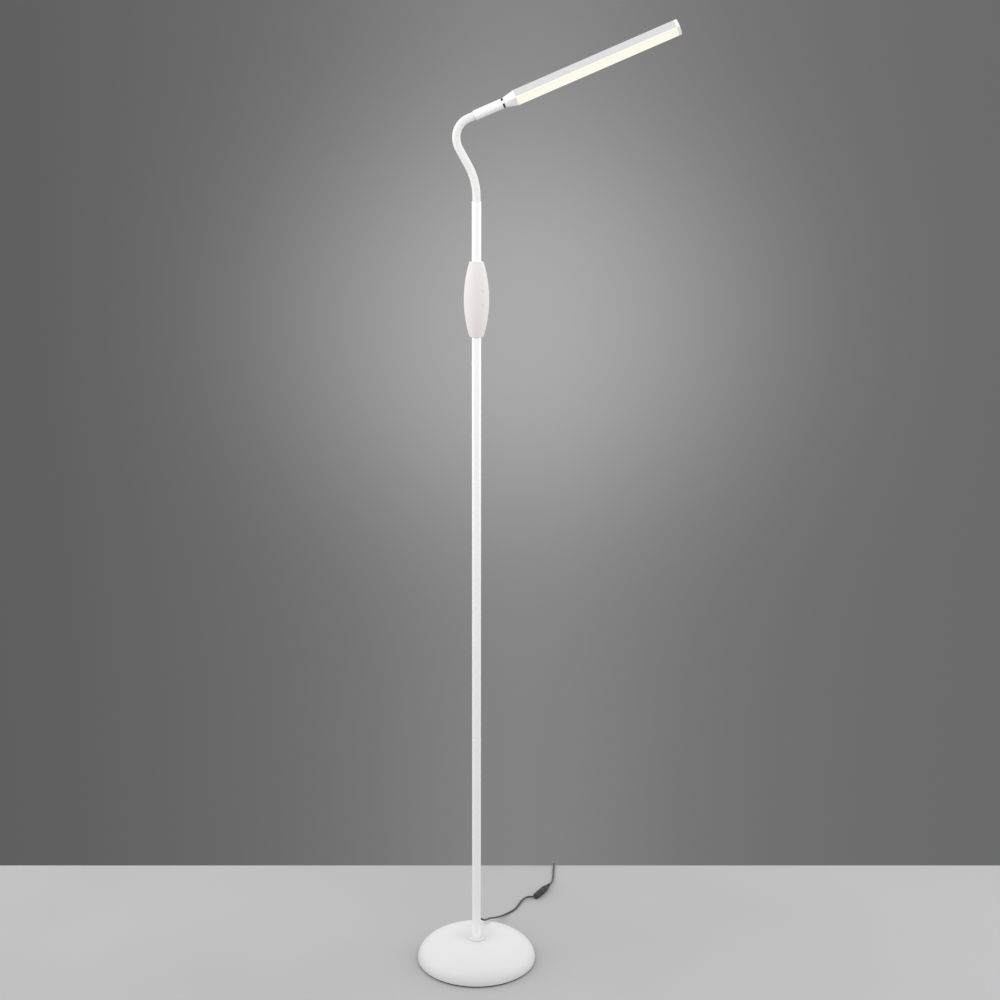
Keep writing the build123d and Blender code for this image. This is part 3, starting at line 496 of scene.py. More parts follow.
@dataclass(frozen=True)
class LitDiffuser:
    """Opal plastic lit from behind: white in the middle, creamier at the ends and along its front edge.

    Attributes:
        name: the material's name.
        colour: body colour of the plastic.
        core: colour of the light in the middle.
        rim: colour of the light near the ends.
        glow: emission strength.
        fade: length of the warmer stretch at each end.
        ends: length of the plain stretch beyond it, at the cone and at the cap.
        edge: depth in Y between which the warmer front edge fades.
        edge_warmth: warmth of that edge.
        cloud: strength of the faint clouds.
        cloud_cells: clouds in a metre.
        grain_cells: grain cells in a metre.
        grain_depth: height of the grain.
    """

    name: str
    colour: Colour
    core: Colour
    rim: Colour
    glow: float
    fade: float
    ends: tuple[float, float] = (4.0 * MM, 8.0 * MM)
    edge: tuple[float, float] = (-13.5 * MM, -6.0 * MM)
    edge_warmth: float = 0.55
    cloud: float = 0.06
    cloud_cells: float = 260.0
    grain_cells: float = 1600.0
    grain_depth: float = 10 * MICRON

    def warmth(self, tree: Tree) -> Socket:
        """Draws where the light is warmer, from the diffuser's place in the frame.

        Args:
            tree: the material's tree.

        Returns:
            0 where the light has its core colour and 1 where it has its rim colour.
        """
        joint = next(item for item in frame["joints"] if item["name"] == "head_swivel")
        along, origin = Vector(joint["axis"]), Vector(joint["pos_m"])
        low, high = ((Vector(corner) - origin).dot(along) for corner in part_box("diffuser"))
        low, high = low + self.ends[0], high - self.ends[1]
        place = tree.place()
        shift = tree.vector("SUBTRACT", place, tuple(origin))
        distance = tree.vector("DOT_PRODUCT", shift, tuple(along))
        near = tree.spread(distance, low, low + self.fade, 1.0, 0.0)
        far = tree.spread(distance, high - self.fade, high, 0.0, 1.0)
        edge = tree.spread(tree.axis(shift, 1), *self.edge, self.edge_warmth, 0.0)
        cloud = tree.spread(tree.noise(place, self.cloud_cells), 0.3, 0.7, 0.0, self.cloud)
        warm = tree.math("MAXIMUM", tree.math("MAXIMUM", near, far), edge)
        return tree.math("MINIMUM", 1.0, tree.math("ADD", warm, cloud))

    def build(self) -> bpy.types.Material:
        """Builds the finish.

        Returns:
            The new material.
        """
        material, tree, shader = blank_material(self.name)
        grain = GRAIN.use(tree, Colour=self.colour, Roughness=0.42, Drift=0.05, Cells=self.grain_cells)
        feed_shader(tree, shader, grain, self.grain_depth)
        tree.feed(shader.inputs["Emission Color"], tree.mix(self.warmth(tree), self.core, self.rim))
        shader.inputs["Emission Strength"].default_value = self.glow
        material.cycles.emission_sampling = "FRONT"
        return material


@dataclass(frozen=True)
class SleeveSkin(Surface):
    """Soft sleeve over the gooseneck hose, whose coils show through as faint rings.

    Attributes:
        pitch: distance of two coils of the hose.
        coil_height: height of the rings, in parts of the grain's.
    """

    pitch: float = 2.1 * MM
    coil_height: float = 0.9

    def texture(self, tree: Tree) -> Sockets:
        """Adds the faint rings along the sleeve."""
        surface = super().texture(tree)
        along = tree.add("ShaderNodeAttribute", attribute_name="along").outputs["Fac"]
        wave = tree.math("SINE", tree.math("MULTIPLY", along, 2 * math.pi / self.pitch))
        surface["Height"] = tree.math("MULTIPLY_ADD", wave, self.coil_height, surface["Height"])
        return surface


def bare_metal(name: str, colour: Colour, roughness: float, depth: float = 10 * MICRON) -> Surface:
    """Returns the finish of bare turned or drawn metal."""
    return Surface(name, colour, roughness, BRUSHED, depth=depth, metallic=1.0, dust=0.0)


class Finish(Enum):
    """Every finish on the lamp."""

    POWDER = Surface("white_powder_coat", (0.765, 0.765, 0.765), 0.36, PEEL, cells=520.0,
                     depth=4 * MICRON, coat=0.15)
    # Painted shade: the base's white powder coat is given a darker grey than the pole's, for the shade on
    # the base.
    BASE_POWDER = Surface("base_coat_painted_shade", (0.60, 0.597, 0.60), 0.42, PEEL, cells=480.0, dust=0.08)
    # Painted shade: the light bar's housing, white like the pole, is given a darker lavender grey for the
    # shade on its facets.
    HEAD_COAT = Surface("head_coat_painted_shade", (0.60, 0.592, 0.606), 0.38, PEEL, cells=600.0,
                        depth=2.5 * MICRON)
    WHITE_PLASTIC = Surface("white_gloss_plastic", (0.80, 0.80, 0.80), 0.28, PEEL, cells=400.0,
                            depth=2 * MICRON, coat=0.2)
    GRIP = GripShell("grip_plastic", (0.91, 0.884, 0.889), 0.55, GRAIN, cells=1500.0,
                     depth=8 * MICRON, dust=0.02)
    SLEEVE = SleeveSkin("gooseneck_sleeve", (0.76, 0.76, 0.747), 0.46, GRAIN, cells=1500.0,
                        depth=2.5 * MICRON, dust=0.02)
    BLACK_PLASTIC = Surface("black_plastic", (0.006, 0.006, 0.0065), 0.46, GRAIN, cells=1500.0,
                            depth=15 * MICRON, dust=0.005, specular=0.03)
    CORD = Surface("cord_jacket", (0.005, 0.005, 0.0055), 0.48, GRAIN, cells=1200.0,
                   dust=0.005, specular=0.03)
    # Partly painted shade: a black foam pad under the base, whose black edge also stands for the shade in
    # the gap under the base's rim.
    RUBBER = Surface("foot_pad_and_gap_shade", (0.010, 0.010, 0.0105), 0.85, GRAIN, cells=1400.0,
                     depth=120 * MICRON, dust=0.0, specular=0.1)
    STEEL = bare_metal("turned_steel", (0.58, 0.57, 0.56), 0.30)
    PLATED = bare_metal("plated_pins", (0.75, 0.73, 0.70), 0.16, 4 * MICRON)
    BRASS = bare_metal("brass", (0.72, 0.52, 0.22), 0.28)
    ALUMINIUM = bare_metal("bare_aluminium", (0.72, 0.72, 0.73), 0.35)
    IRON = Surface("cast_iron", (0.09, 0.09, 0.095), 0.75, GRAIN, cells=500.0,
                   depth=300 * MICRON, drift=0.2, dust=0.0)
    BOARD = Surface("white_board", (0.80, 0.81, 0.78), 0.35, PEEL, cells=1500.0, dust=0.0)
    PHOSPHOR = Surface("led_phosphor", (0.90, 0.72, 0.10), 0.40, GRAIN, cells=3000.0, dust=0.0)
    WIRE = Surface("wire_jacket", (0.45, 0.03, 0.02), 0.40, PEEL, cells=1500.0, dust=0.0)
    MARK = Surface("printed_grey", (0.50, 0.49, 0.50), 0.55, GRAIN, cells=2600.0,
                   depth=4 * MICRON, dust=0.0)
    DIFFUSER = LitDiffuser("lit_diffuser", (0.25, 0.235, 0.205), (1.0, 0.94, 0.84), (1.0, 0.88, 0.66),
                           0.80, 12.0 * MM)

    def material(self) -> bpy.types.Material:
        """Returns the finish's material, built on first use."""
        return bpy.data.materials.get(self.value.name) or self.value.build()


@dataclass
class Assembly:
    """A sub-assembly of the lamp.

    Attributes:
        finishes: the names of the CAD nodes that each finish dresses.
    """

    finishes: ClassVar[dict[Finish, str]] = {}

    def build(self) -> None:
        """Builds the assembly's own meshes, where it has any."""

    def dress(self) -> None:
        """Gives the assembly's CAD nodes their finishes."""
        for finish, names in self.finishes.items():
            for name in names.split():
                piece = frame["nodes"][name]
                if not piece.material_slots:
                    piece.data.materials.append(None)
                for place in piece.material_slots:
                    place.material = finish.material()
                LOG.info("%s gets %s", name, finish.value.name)


# ---------------- meshes


def add_piece(name: str, mesh: bpy.types.Mesh | bpy.types.Curve, finish: Finish) -> bpy.types.Object:
    """Makes an object with its finish.

    Args:
        name: name of the piece.
        mesh: its mesh or curve.
        finish: its finish.

    Returns:
        The new object.
    """
    piece = put(name, mesh)
    mesh.materials.append(finish.material())
    LOG.info("%s made", name)
    return piece


def make_mesh(name: str, points: Sequence[Sequence[float]], faces: Sequence[Sequence[int]],
              smooth: bool = True) -> bpy.types.Mesh:
    """Makes a mesh from points and faces.

    Args:
        name: name of the mesh.
        points: vertices in metres.
        faces: vertex numbers of each face.
        smooth: whether the faces are shaded smooth.

    Returns:
        The new mesh.
    """
    mesh = bpy.data.meshes.new(name)
    mesh.from_pydata([tuple(point) for point in points], [], faces)
    mesh.polygons.foreach_set("use_smooth", [smooth] * len(mesh.polygons))
    mesh.update()
    return mesh


def ring_faces(rings: int, around: int, closed: bool = False) -> list[tuple[int, ...]]:
    """Lists the quads between neighbouring rings of points.

    Args:
        rings: number of rings.
        around: points on each ring.
        closed: whether the last ring joins the first.

    Returns:
        Vertex numbers of each quad.
    """
    faces = []
    for row in range(rings if closed else rings - 1):
        low, high = row * around, (row + 1) % rings * around
        for column in range(around):
            after = (column + 1) % around
            faces.append((low + column, low + after, high + after, high + column))
    return faces


def turned_mesh(name: str, profile: Profile, place: Matrix, around: int = 48,
                hollow: bool = False) -> bpy.types.Mesh:
    """Makes a body of revolution about its local Z axis.

    Args:
        name: name of the mesh.
        profile: radius and height of each ring.
        place: where the body goes.
        around: points on each ring.
        hollow: whether the profile closes on itself and leaves a hole in the middle.

    Returns:
        The new mesh.
    """
    sharpest_smooth = math.radians(35.0)
    angles = [2 * math.pi * step / around for step in range(around)]
    points = [place @ Vector((*polar(radius, angle), height))
              for radius, height in profile for angle in angles]
    faces = ring_faces(len(profile), around, closed=hollow)
    if not hollow:
        ends = range(around), range(len(points) - around, len(points))
        faces += [tuple(reversed(ends[0])), tuple(ends[1])]
    mesh = make_mesh(name, points, faces)
    mesh.set_sharp_from_angle(angle=sharpest_smooth)
    return mesh


def along_frame(origin: Vector, direction: Vector) -> Matrix:
    """Returns a matrix whose Z axis runs along a direction from an origin."""
    return Matrix.Translation(origin) @ direction.to_track_quat("Z", "Y").to_matrix().to_4x4()


# ---------------- stand


@dataclass
class Stand(Assembly):
    """Base, pole and upper tube: the smooth pressed cover is made here, the rest is dressed.

    Attributes:
        cover_radius: the cover's radius at its widest line.
        cover_rise: height of the dome above that line.
        roundness: roundness of the shoulder; 2 is an ellipse.
        cover_wall: thickness of the sheet.
        cover_lip: height of the straight lower edge.
        dip_depth: depth of the hollow round the pole foot.
        dip_radius: radius of that hollow.
        land_radius: radius of the flat seat under the flange ring.
        bore: radius of the hole for the foot bolt.
        rings: rings of points from the rim to the seat.
        around: points on each ring.
    """

    finishes = {
        Finish.BASE_POWDER: "foot_flange",
        Finish.POWDER: "pole_section_lower pole_section_middle pole_section_upper upper_tube",
        Finish.RUBBER: "foot_ring",
        Finish.IRON: "base_weight",
        Finish.STEEL: "base_plate base_plate_screws base_bolt base_washer stem_spacer "
                      "pole_foot_insert pole_couplers",
        Finish.WIRE: "inner_wires"}

    cover_radius: float = 110.0 * MM
    cover_rise: float = 46.3 * MM
    roundness: float = 2.12
    cover_wall: float = 1.5 * MM
    cover_lip: float = 0.7 * MM
    dip_depth: float = 9.8 * MM
    dip_radius: float = 50.0 * MM
    land_radius: float = 17.0 * MM
    bore: float = 5.0 * MM
    rings: int = 56
    around: int = 160

    def skin(self, inset: float) -> Profile:
        """Works out the dome's profile from its widest line to the seat.

        Args:
            inset: how far inside the outer skin the profile runs.

        Returns:
            Radius and height of each ring, the height above the widest line.
        """
        wide, rise = self.cover_radius - inset, self.cover_rise - inset
        last = math.acos((self.land_radius / wide) ** (self.roundness / 2))
        profile = []
        for ring in range(self.rings + 1):
            angle = last * ring / self.rings
            radius = wide * math.cos(angle) ** (2 / self.roundness)
            height = rise * math.sin(angle) ** (2 / self.roundness)
            profile.append((radius, height - self.dip_depth * (1 - ease(radius / self.dip_radius))))
        return profile

    def build(self) -> None:
        """Builds the base's cover, whose seat carries the flange ring."""
        outer, inner = self.skin(0.0), self.skin(self.cover_wall)
        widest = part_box("foot_flange")[0][2] - outer[-1][1]
        profile = [(self.cover_radius, widest - self.cover_lip)]
        profile += [(radius, widest + height) for radius, height in outer]
        profile += [(self.bore, widest + outer[-1][1]), (self.bore, widest + inner[-1][1])]
        profile += [(radius, widest + height) for radius, height in reversed(inner)]
        profile.append((inner[0][0], widest - self.cover_lip))
        mesh = turned_mesh("base_cover_pressed", profile, Matrix.Identity(4), self.around, hollow=True)
        piece = add_piece("base_cover_pressed", mesh, Finish.BASE_POWDER)
        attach(piece, "stand")
        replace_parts(piece, "base_cover")


# ---------------- grip


@dataclass
class Grip(Assembly):
    """Barrel grip with its touch dimmer and the two printed marks.

    Attributes:
        half_length: half the barrel's length.
        end_radius: radius at the barrel's ends.
        middle_radius: radius at its middle.
        yaw: the touch side is turned from -Y towards +X by this angle, in degrees.
        mark_heights: heights of the marks from the grip's middle.
        mark_radius: outer radius of a mark.
        stroke: width of the printed lines.
        film: how far the print stands proud.
        switch_arc: start and end angle of the switch mark's open ring, in degrees.
        switch_bar: lower and upper end of its bar, in parts of the mark's radius.
        sun_core: radius of the sun mark's ring, in parts of the mark's radius.
        sun_rays: number of its rays.
        ray_reach: inner and outer end of a ray, in parts of the mark's radius.
        middle: height of the grip's middle.
    """

    finishes = {
        Finish.GRIP: "grip_shell_front grip_shell_rear",
        Finish.STEEL: "grip_screws touch_board_screws",
        Finish.BOARD: "touch_board",
        Finish.BRASS: "junction_core touch_electrodes"}

    half_length: float = 64.3 * MM
    end_radius: float = 12.0 * MM
    middle_radius: float = 21.7 * MM
    yaw: float = 30.0
    mark_heights: Pair = (16.0 * MM, -8.0 * MM)
    mark_radius: float = 2.4 * MM
    stroke: float = 0.55 * MM
    film: float = 0.06 * MM
    switch_arc: Pair = (125.0, 415.0)
    switch_bar: Pair = (0.15, 1.1)
    sun_core: float = 0.45
    sun_rays: int = 8
    ray_reach: Pair = (0.78, 1.12)
    middle: float = field(
        default_factory=lambda: sum(corner[2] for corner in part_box("grip_shell_front")) / 2)

    def on_skin(self, across: float, height: float, out: float) -> Vector:
        """Finds a point on the barrel's skin on its touch side.

        Args:
            across: distance to the side of the touch line, along the skin.
            height: height above the grip's middle.
            out: distance out of the skin.

        Returns:
            The point.
        """
        sag = self.middle_radius - self.end_radius
        bend = (self.half_length ** 2 + sag ** 2) / (2 * sag)
        radius = self.middle_radius - bend + math.sqrt(bend ** 2 - height ** 2)
        angle = math.radians(self.yaw - 90.0) + across / radius
        return Vector((*polar(radius + out, angle), self.middle + height))

    def stroke_mesh(self, name: str, lines: Sequence[Sequence[Pair]], height: float) -> bpy.types.Mesh:
        """Draws printed strokes on the skin as thin ribbons.

        Args:
            name: name of the mesh.
            lines: each line's points, across and up from the mark's middle.
            height: height of the mark's middle above the grip's middle.

        Returns:
            The new mesh.
        """
        points, faces = [], []
        corners = ((-1, -self.film), (-1, self.film), (1, self.film), (1, -self.film))
        for line in lines:
            start = len(points)
            for index, spot in enumerate(line):
                before = Vector(line[max(index - 1, 0)])
                after = Vector(line[min(index + 1, len(line) - 1)])
                run = (after - before).normalized()
                side = Vector((-run.y, run.x)) * (self.stroke / 2)
                for sign, out in corners:
                    flat = Vector(spot) + side * sign
                    points.append(self.on_skin(flat.x, height + flat.y, out))
            for low in range(start, len(points) - 4, 4):
                for corner in range(4):
                    after = (corner + 1) % 4
                    faces.append((low + corner, low + 4 + corner, low + 4 + after, low + after))
            faces.append(tuple(range(start, start + 4)))
            faces.append(tuple(range(len(points) - 1, len(points) - 5, -1)))
        return make_mesh(name, points, faces, smooth=False)

    def arc(self, radius: float, start: float, end: float) -> Profile:
        """Returns points on an arc; angles in degrees, anticlockwise from the right."""
        steps = 24
        angles = [math.radians(start + (end - start) * step / steps) for step in range(steps + 1)]
        return [polar(radius, angle) for angle in angles]

    def build(self) -> None:
        """Prints a switch mark and a brighter-dimmer mark on the touch side."""
        radius = self.mark_radius
        bar = [(0.0, reach * radius) for reach in self.switch_bar]
        switch = [self.arc(radius - self.stroke / 2, *self.switch_arc), bar]
        sun = [self.arc(self.sun_core * radius, 0.0, 358.0)]
        for ray in range(self.sun_rays):
            angle = 2 * math.pi * ray / self.sun_rays
            sun.append([polar(reach * radius, angle) for reach in self.ray_reach])
        for name, lines, height in (("touch_mark_dimmer", sun, self.mark_heights[0]),
                                    ("touch_mark_switch", switch, self.mark_heights[1])):
            piece = add_piece(name, self.stroke_mesh(name, lines, height), Finish.MARK)
            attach(piece, "stand")


# ---------------- gooseneck


@dataclass
class Gooseneck(Assembly):
    """Smooth sleeve over the gooseneck, one stretch for each of its hinges.

    Attributes:
        stretches: length and left turn in degrees of each stretch of the centre line at rest.
        radius: the sleeve's outer radius.
        lip: extra radius of the rolled lip at the lower end.
        lip_length: length of a rolled lip.
        tuck: how far the sleeve reaches into the neck tube.
        step: distance of two rings of points.
        around: points on each ring.
        foot: height of the sleeve's lower end, on the upper tube.
    """

    stretches: tuple[Pair, ...] = (
        (7.0 * MM, 0.0), (55.0 * MM, 29.0), (31.0 * MM, 0.0), (21.0 * MM, -29.0), (39.0 * MM, -67.0),
        (11.0 * MM, 0.0))
    radius: float = 6.9 * MM
    lip: float = 0.22 * MM
    lip_length: float = 1.2 * MM
    tuck: float = 3.0 * MM
    step: float = 0.8 * MM
    around: int = 40
    foot: float = field(default_factory=lambda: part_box("upper_tube")[1][2])

    def length(self) -> float:
        """Returns the length of the centre line."""
        return sum(run for run, _ in self.stretches)

    def centre(self, distance: float) -> tuple[Vector, float]:
        """Finds a point of the centre line at rest.

        Args:
            distance: distance along the line from the upper tube's end.

        Returns:
            The point and the heading in radians from +X.
        """
        x, z, heading = 0.0, self.foot, math.radians(90.0)
        for run, turn in self.stretches:
            part = min(distance, run)
            after = heading + math.radians(turn) * part / run
            if turn:
                bend = run / math.radians(turn)
                x += bend * (math.sin(after) - math.sin(heading))
                z += bend * (math.cos(heading) - math.cos(after))
            else:
                x += part * math.cos(heading)
                z += part * math.sin(heading)
            heading = after
            distance -= part
        x += distance * math.cos(heading)
        z += distance * math.sin(heading)
        return Vector((x, 0.0, z)), heading

    def nearest(self, spot: Vector) -> float:
        """Returns the distance along the centre line that is nearest to a point."""
        steps = 2000
        distances = [self.length() * step / steps for step in range(steps + 1)]
        return min(distances, key=lambda distance: (self.centre(distance)[0] - spot).length)

    def sleeve_radius(self, distance: float) -> float:
        """Returns the sleeve's radius, with its rolled lip at the lower end."""
        share = min(distance / self.lip_length, 1.0)
        return self.radius + self.lip * math.sin(math.pi * share)

    def stretch_mesh(self, name: str, start: float, end: float) -> bpy.types.Mesh:
        """Makes one stretch of the sleeve.

        Args:
            name: name of the mesh.
            start: its start along the centre line.
            end: its end along the centre line.

        Returns:
            The new mesh.
        """
        fewest = 4
        rings = max(fewest, math.ceil((end - start) / self.step))
        sideways = Vector((0.0, 1.0, 0.0))
        points, along = [], []
        for ring in range(rings + 1):
            distance = start + (end - start) * ring / rings
            middle, heading = self.centre(distance)
            across = Vector((math.sin(heading), 0.0, -math.cos(heading)))
            radius = self.sleeve_radius(distance)
            for step in range(self.around):
                angle = 2 * math.pi * step / self.around
                points.append(middle + radius * (math.cos(angle) * across + math.sin(angle) * sideways))
                along.append(distance)
        mesh = make_mesh(name, points, ring_faces(rings + 1, self.around))
        mesh.attributes.new("along", "FLOAT", "POINT").data.foreach_set("value", along)
        return mesh

    def build(self) -> None:
        """Builds a stretch round each hinge."""
        hinges = [joint for joint in frame["joints"] if joint["name"].startswith("gooseneck")]
        hinges.sort(key=lambda joint: int(joint["name"].rsplit("_", 1)[1]))
        marks = [self.nearest(Vector(joint["pos_m"])) for joint in hinges]
        bounds = [0.0] + [(a + b) / 2 for a, b in zip(marks, marks[1:])] + [self.length()]
        links = sorted(name for name in frame["nodes"] if name.startswith("gooseneck_link"))
        stands_for = [["gooseneck_socket", links[0]]] + [[link] for link in links[1:]] + [["neck_ball_end"]]
        for number, joint in enumerate(hinges):
            low, high = bounds[number], bounds[number + 1]
            end = high + (self.tuck if number == len(hinges) - 1 else 0.0)
            name = f"gooseneck_sleeve_{number + 1}"
            piece = add_piece(name, self.stretch_mesh(name, low, end), Finish.SLEEVE)
            self.centre(low)[0]
            self.centre(high)[0]
            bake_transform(piece)
            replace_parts(piece, *stands_for[number])


# ---------------- neck and light bar


@dataclass
class LightBar(Assembly):
    """Neck tube, black friction ring, cone, lit square bar and end cap: CAD pieces, dressed here."""

    finishes = {
        Finish.POWDER: "neck_tube",
        Finish.BLACK_PLASTIC: "friction_ring neck_bush",
        Finish.WHITE_PLASTIC: "head_cone head_end_cap",
        Finish.HEAD_COAT: "head_housing",
        Finish.DIFFUSER: "diffuser",
        Finish.STEEL: "head_screws swivel_spindle",
        Finish.ALUMINIUM: "led_carrier",
        Finish.BOARD: "led_board",
        Finish.PHOSPHOR: "led_chips",
        Finish.WIRE: "head_wires"}


# ---------------- cord


@dataclass
class CordSet(Assembly):
    """Low-voltage cord: strain relief, lamp lead, coupling, supply lead, tied coil and power supply.

    Attributes:
        diameter: the cord's diameter.
        steps_along: steps between two control points of the cord.
        steps_round: how finely the cord is rounded.
        lamp_route: control points of the lamp lead from the strain relief to the coupling.
        supply_route: control points of the supply lead from the coupling to the coil.
        tail_route: control points from the coil to the power supply.
        coil_centre: middle of the coil on the floor.
        coil_radii: radii of the turns, from the outside in.
        coil_levels: heights of the two layers.
        turn_points: control points in a turn.
        step_start: angle at which each turn steps to the next radius, in degrees.
        step_sweep: sweep of that step and of the climb to the upper layer, in degrees.
        climb_lead: how far the climb starts before the last step, in degrees.
        lamp_length: length of the lamp lead; not used.
        supply_length: length of the supply lead with its coil and tail; not used.
        relief_tilt: downward tilt of the strain relief, in degrees.
        relief_reach: distance of its tip from the pole's axis.
        coupling_radius: radius of the coupling's body.
        coupling_length: length of the whole coupling.
        socket_length: length of its socket half.
    """

    finishes = {
        Finish.BLACK_PLASTIC: "adapter_case_lower adapter_case_upper coil_tie",
        Finish.CORD: "adapter_boot",
        Finish.PLATED: "adapter_pins"}

    diameter: float = 3.6 * MM
    steps_along: int = 8
    steps_round: int = 5
    lamp_route: tuple[Point, ...] = (
        (0.0, 0.02772, 0.07272), (0.0, 0.03618, 0.06964), (0.0068, 0.0435, 0.0595),
        (0.0157, 0.049, 0.052), (0.0245, 0.078, 0.042), (0.033, 0.114, 0.024),
        (0.0445, 0.147, 0.009), (0.0585, 0.172, 0.0018),
        (0.0768, 0.1915, 0.0018), (0.085, 0.214, 0.0018), (0.092, 0.2305, 0.0034), (0.103, 0.2406, 0.005),
        (0.1136, 0.239, 0.0054), (0.1203, 0.242, 0.0062))
    supply_route: tuple[Point, ...] = (
        (0.1493, 0.29223, 0.0062), (0.1538, 0.30002, 0.0062), (0.1564, 0.3175, 0.0028),
        (0.1594, 0.341, 0.0018), (0.1606, 0.366, 0.0018), (0.163, 0.388, 0.0032), (0.163, 0.41, 0.0032))
    tail_route: tuple[Point, ...] = (
        (0.1216, 0.4514, 0.0068), (0.1126, 0.4514, 0.0068), (0.097, 0.446, 0.013), (0.088, 0.446, 0.013),
        (0.078, 0.446, 0.013))
    coil_centre: Pair = (0.1366, 0.425)
    coil_radii: tuple[float, ...] = (26.4 * MM, 22.8 * MM, 19.2 * MM, 15.6 * MM)
    coil_levels: Pair = (3.2 * MM, 6.8 * MM)
    turn_points: int = 20
    step_start: float = 120.0
    step_sweep: float = 80.0
    climb_lead: float = 90.0
    lamp_length: float = 0.272
    supply_length: float = 1.10
    relief_tilt: float = 20.0
    relief_reach: float = 29.5 * MM
    coupling_radius: float = 6.2 * MM
    coupling_length: float = 58.0 * MM
    socket_length: float = 27.0 * MM

    def coil_points(self) -> list[Point]:
        """Works out the turns: in over the lower layer, up, and out over the upper one.

        Returns:
            Control points of the coil.
        """
        inward = len(self.coil_radii) - 1
        steps = self.turn_points
        total = (2 * inward + 1) * steps + steps // 4
        widen = 2 / (1 + math.cos(math.pi / steps))
        climb = self.step_start + 360.0 * inward - self.climb_lead
        wide, narrow = self.coil_radii[0], self.coil_radii[-1]
        low, high = self.coil_levels
        points = []
        for index in range(1, total + 1):
            angle = 360.0 * index / steps
            turn, within = divmod(angle - self.step_start, 360.0)
            passed = turn + ease(within / self.step_sweep) if turn >= 0 else 0.0
            place = min(passed, inward, 2 * inward + 1 - passed)
            radius = wide + (narrow - wide) * place / inward
            level = low + (high - low) * ease((angle - climb) / self.step_sweep)
            x, y = polar(widen * radius, math.radians(angle))
            points.append((self.coil_centre[0] + x, self.coil_centre[1] + y, level))
        return points

    def curve(self, name: str, route: Sequence[Point], nodes: Sequence[str]) -> bpy.types.Object:
        """Makes a stretch of cord as one smooth curve.

        Args:
            name: name of the piece.
            route: its control points.
            nodes: the CAD nodes it stands for.

        Returns:
            The cord's object.
        """
        curve = bpy.data.curves.new(name, "CURVE")
        curve.dimensions = "3D"
        spline = curve.splines.new("NURBS")
        spline.points.add(len(route) - 1)
        for point, spot in zip(spline.points, route):
            point.co = (*spot, 1.0)
        spline.order_u = 3
        spline.use_endpoint_u = True
        curve.resolution_u = self.steps_along
        curve.bevel_depth = self.diameter / 2
        curve.bevel_resolution = self.steps_round
        curve.use_fill_caps = True
        piece = add_piece(name, curve, Finish.CORD)
        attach(piece, "stand")
        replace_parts(piece, *nodes)
        return piece

    def relief(self) -> bpy.types.Object:
        """Makes the ribbed strain relief that leaves the pole.

        Returns:
            The strain relief.
        """
        tilt = math.radians(self.relief_tilt)
        direction = Vector((0.0, math.cos(tilt), -math.sin(tilt)))
        origin = Vector(self.lamp_route[0]) - direction * self.relief_reach
        profile = in_mm((3.0, 6.6), (4.4, 6.8), (4.6, 7.2), (4.6, 9.1), (4.3, 9.5))
        ribs, thickest, taper, groove = 7, 3.6 * MM, 1.2 * MM, 0.55 * MM
        start, end = 9.6 * MM, self.relief_reach - 0.6 * MM
        pitch = (end - start) / ribs
        for rib in range(ribs):
            big = thickest - taper * rib / ribs
            core, low = big - groove, start + rib * pitch
            profile += [(core, low), (core, low + 0.3 * pitch), (big - 0.12 * MM, low + 0.38 * pitch),
                        (big, low + 0.5 * pitch), (big - 0.05 * MM, low + 0.86 * pitch),
                        (core, low + 0.97 * pitch)]
        profile += [(2.3 * MM, end), (2.2 * MM, self.relief_reach), (1.85 * MM, self.relief_reach)]
        mesh = turned_mesh("strain_relief_ribbed", profile, along_frame(origin, direction))
        piece = add_piece("strain_relief_ribbed", mesh, Finish.BLACK_PLASTIC)
        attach(piece, "stand")
        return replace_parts(piece, "cord_strain_relief")

    def coupling(self) -> list[bpy.types.Object]:
        """Makes both halves of the coupling, with grip ribs and a tapered ribbed tail.

        Returns:
            The socket half and the plug half.
        """
        entry, leave = Vector(self.lamp_route[-1]), Vector(self.supply_route[0])
        place = along_frame(entry, (leave - entry).normalized())
        full, split, nose, ribs = self.coupling_radius, self.socket_length, 3.2 * MM, 5
        turns = [math.radians(15.0 * step) for step in range(2, 7)]
        socket = [(full * math.sin(turn), -nose * math.cos(turn)) for turn in turns]
        for rib in range(ribs):
            low, groove = (5.0 + 2.6 * rib) * MM, full - 0.45 * MM
            socket += [(full, low), (groove, low + 0.3 * MM), (groove, low + 1.1 * MM),
                       (full, low + 1.4 * MM)]
        socket += [(full, split - 0.8 * MM), (full - 0.3 * MM, split - 0.25 * MM), (full - 0.8 * MM, split)]
        body = in_mm((5.4, 0.3), (5.9, 0.5), (6.2, 1.0), (6.2, 8.0), (5.9, 10.5), (5.0, 15.0), (4.4, 18.5))
        for rib in range(ribs):
            low, big = 18.8 + 2.3 * rib, 4.1 - 0.32 * rib
            body += in_mm((big - 0.6, low), (big - 0.6, low + 0.7), (big, low + 1.0),
                          (big - 0.1, low + 2.1))
        plug = [(radius, split + height) for radius, height in body]
        plug += [(2.3 * MM, self.coupling_length - 0.4 * MM), (2.1 * MM, self.coupling_length)]
        halves = []
        for name, profile, node in (("coupling_socket_ribbed", socket, "coupling_socket"),
                                    ("coupling_plug_ribbed", plug, "coupling_plug")):
            mesh = turned_mesh(name, profile, place)
            piece = add_piece(name, mesh, Finish.BLACK_PLASTIC)
            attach(piece, "stand")
            halves.append(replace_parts(piece, node))
        return halves

